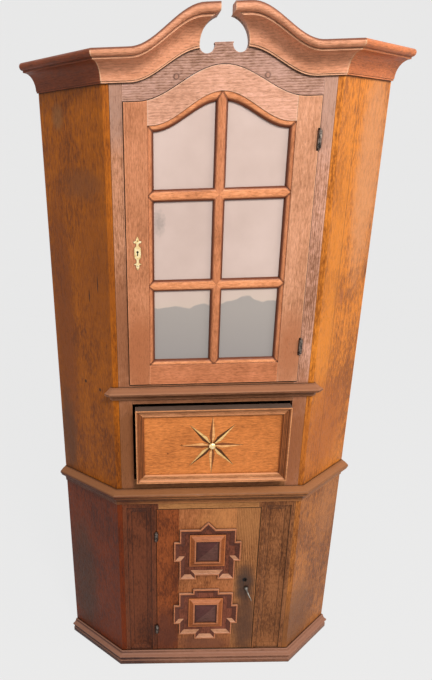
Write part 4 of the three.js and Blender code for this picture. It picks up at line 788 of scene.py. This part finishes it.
# Key plate and knob. Cast brass, rubbed bright: the plate is pinned over the upper keyhole, and the knob is
# screwed into the middle of the drawer's star.
brass = metal("rubbed_brass", (236, 196, 124), (255, 242, 200), 0.36)
rubbed("escutcheon", METAL_ARRIS, brass, "glazed_door")
rubbed("drawer_knob", METAL_ARRIS, brass, "drawer", flat=35)

# Drawer front. An oak board with a mitred frame of moulding planted round its panel. Two small pin holes show
# in the panel, and its upper edge is painted dark grey, as the shade under the middle moulding.
FRAME_WIDE = 0.0275
PIN_MARK = (110, 52, 20)
panel_oak = oak("drawer_panel_oak", (211, 126, 64), "X", (0.03, -0.9), figure=0.04, contrast=0.45, wear_and_highlight=0.1,
                marks=((-0.100, 0.951, 0.0035, 0.004, PIN_MARK, 0.9),
                       (-0.145, 0.922, 0.0035, 0.004, PIN_MARK, 0.9)))
# Dark lines of painted shade follow the grooves of the drawer's moulding.
drawer_shade_lines = shade_lines_round("drawer_front", 0.0045, 0.0095, 0.0145, 0.0195, 0.0245)
drawer_moulding = oak("drawer_moulding_oak", (213, 143, 94), "X", (0.03, -0.8), wear_and_highlight=0.0, dust_and_sheen=0.8,
                      lines=drawer_shade_lines)
drawer_post_oak = oak("drawer_post_oak", (150, 85, 44), "Z", (0.03, 0.24), wear_and_highlight=0.0, lines=drawer_shade_lines)
# Painted shade: the drawer's upper edge, under the middle moulding, is tinted dark grey.
drawer_top_shade_oak = oak("drawer_top_shade_oak", (96, 76, 64), "X", (0.03, 0.24), wear_and_highlight=0.7, dust_and_sheen=0.3, grime_and_shade=0.3)
front_low, front_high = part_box("drawer_front")


def drawer_part(face, spot):
    """0 for the panel, 1 and 2 for the moulding along and beside it, 3 for the drawer's upper edge, painted
    dark as in shade.
    """
    def insets(place):
        return front_high.x - abs(place.x), min(front_high.z - place.z, place.z - front_low.z)

    faces_up, at_the_top = face.normal.z > 0.7, spot.z > front_high.z - 0.002
    if faces_up and at_the_top:
        return 3
    if min(min(insets(vert.co)) for vert in face.verts) > FRAME_WIDE - 0.001:
        return 0
    from_the_side, from_the_rails = insets(spot)
    return 2 if from_the_side < from_the_rails else 1


front_finishes = (panel_oak, drawer_moulding, drawer_post_oak, drawer_top_shade_oak)
rubbed("drawer_front", STRIP_ARRIS, front_finishes, "drawer", flat=12, part=drawer_part)

# Compass star. Eight rays let into the drawer's panel, each of two slips that meet on its middle line, one
# of a pale wood and one of a dark, so that the star looks folded.
RAYS_OF_EACH_WOOD = 4
STAR_REACH, RAY_ROOT = 0.103, 0.003
RAY_WIDEST_AT, RAY_HALF_WIDE = 0.033, 0.009
SLIP_FRONT, SLIP_BACK = -0.00045, 0.0009
star_low, star_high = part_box("drawer_star")
star_centre = (0.0, star_low.y, (star_low.z + star_high.z) / 2)
star_woods = (("cream", (236, 190, 124), -1, 45), ("walnut", (84, 48, 22), 1, 45),
              ("copper", (244, 176, 112), -1, 0), ("chestnut", (132, 76, 42), 1, 0))


def slip(side):
    """Half of one ray, a thin three-cornered slip that stands a hair proud of the panel."""
    corners = [(RAY_ROOT, 0.0), (STAR_REACH, 0.0), (RAY_WIDEST_AT, side * RAY_HALF_WIDE)]
    form = bmesh.new()
    front, back = [[form.verts.new((x, y, z)) for x, z in corners] for y in (SLIP_FRONT, SLIP_BACK)]
    form.faces.new(front)
    form.faces.new(reversed(back))
    for i in range(3):
        form.faces.new((front[i], back[i], back[(i + 1) % 3], front[(i + 1) % 3]))
    bmesh.ops.recalc_face_normals(form, faces=form.faces)
    mesh = bpy.data.meshes.new("star_slip")
    form.to_mesh(mesh)
    form.free()
    return mesh


for wood, tint, side, first_turn in star_woods:
    tree, sizes = new_growth("compass_star_" + wood, Rays="Int", Centre="Vector", First_Turn="Float")
    centre = add(tree, "GeometryNodePoints", {"Count": sizes["Rays"], "Position": sizes["Centre"]})
    order = add(tree, "GeometryNodeInputIndex")
    step = add(tree, "ShaderNodeMath", {0: 2 * pi, 1: sizes["Rays"]}, operation="DIVIDE")
    turned = {0: order.outputs[0], 1: step.outputs[0], 2: sizes["First Turn"]}
    angle = add(tree, "ShaderNodeMath", turned, operation="MULTIPLY_ADD")
    about = add(tree, "ShaderNodeCombineXYZ", {"Y": angle.outputs[0]})
    fanned = {"Points": centre.outputs[0], "Instance": sizes["Shape"], "Rotation": about.outputs[0]}
    rays = add(tree, "GeometryNodeInstanceOnPoints", fanned)
    finish = oak("star_" + wood, tint, "X", (0.03, -0.9), wear_and_highlight=0.0, grime_and_shade=0.4, dust_and_sheen=0.0)
    made = grown("drawer_star_" + wood, slip(side), tree, rays.outputs[0], finish,
                 Rays=RAYS_OF_EACH_WOOD, Centre=star_centre, First_Turn=radians(first_turn))
    link_piece("drawer_star_" + wood, made, "drawer", "drawer_star")

# Drawer box. Two sides, a back and a bottom of plain oak, nailed behind the front. They slide on runners
# inside the case.
for board in ("drawer_side_left", "drawer_side_right", "drawer_back", "drawer_bottom"):
    rubbed(board, BOARD_ARRIS, inside_oak, "drawer")
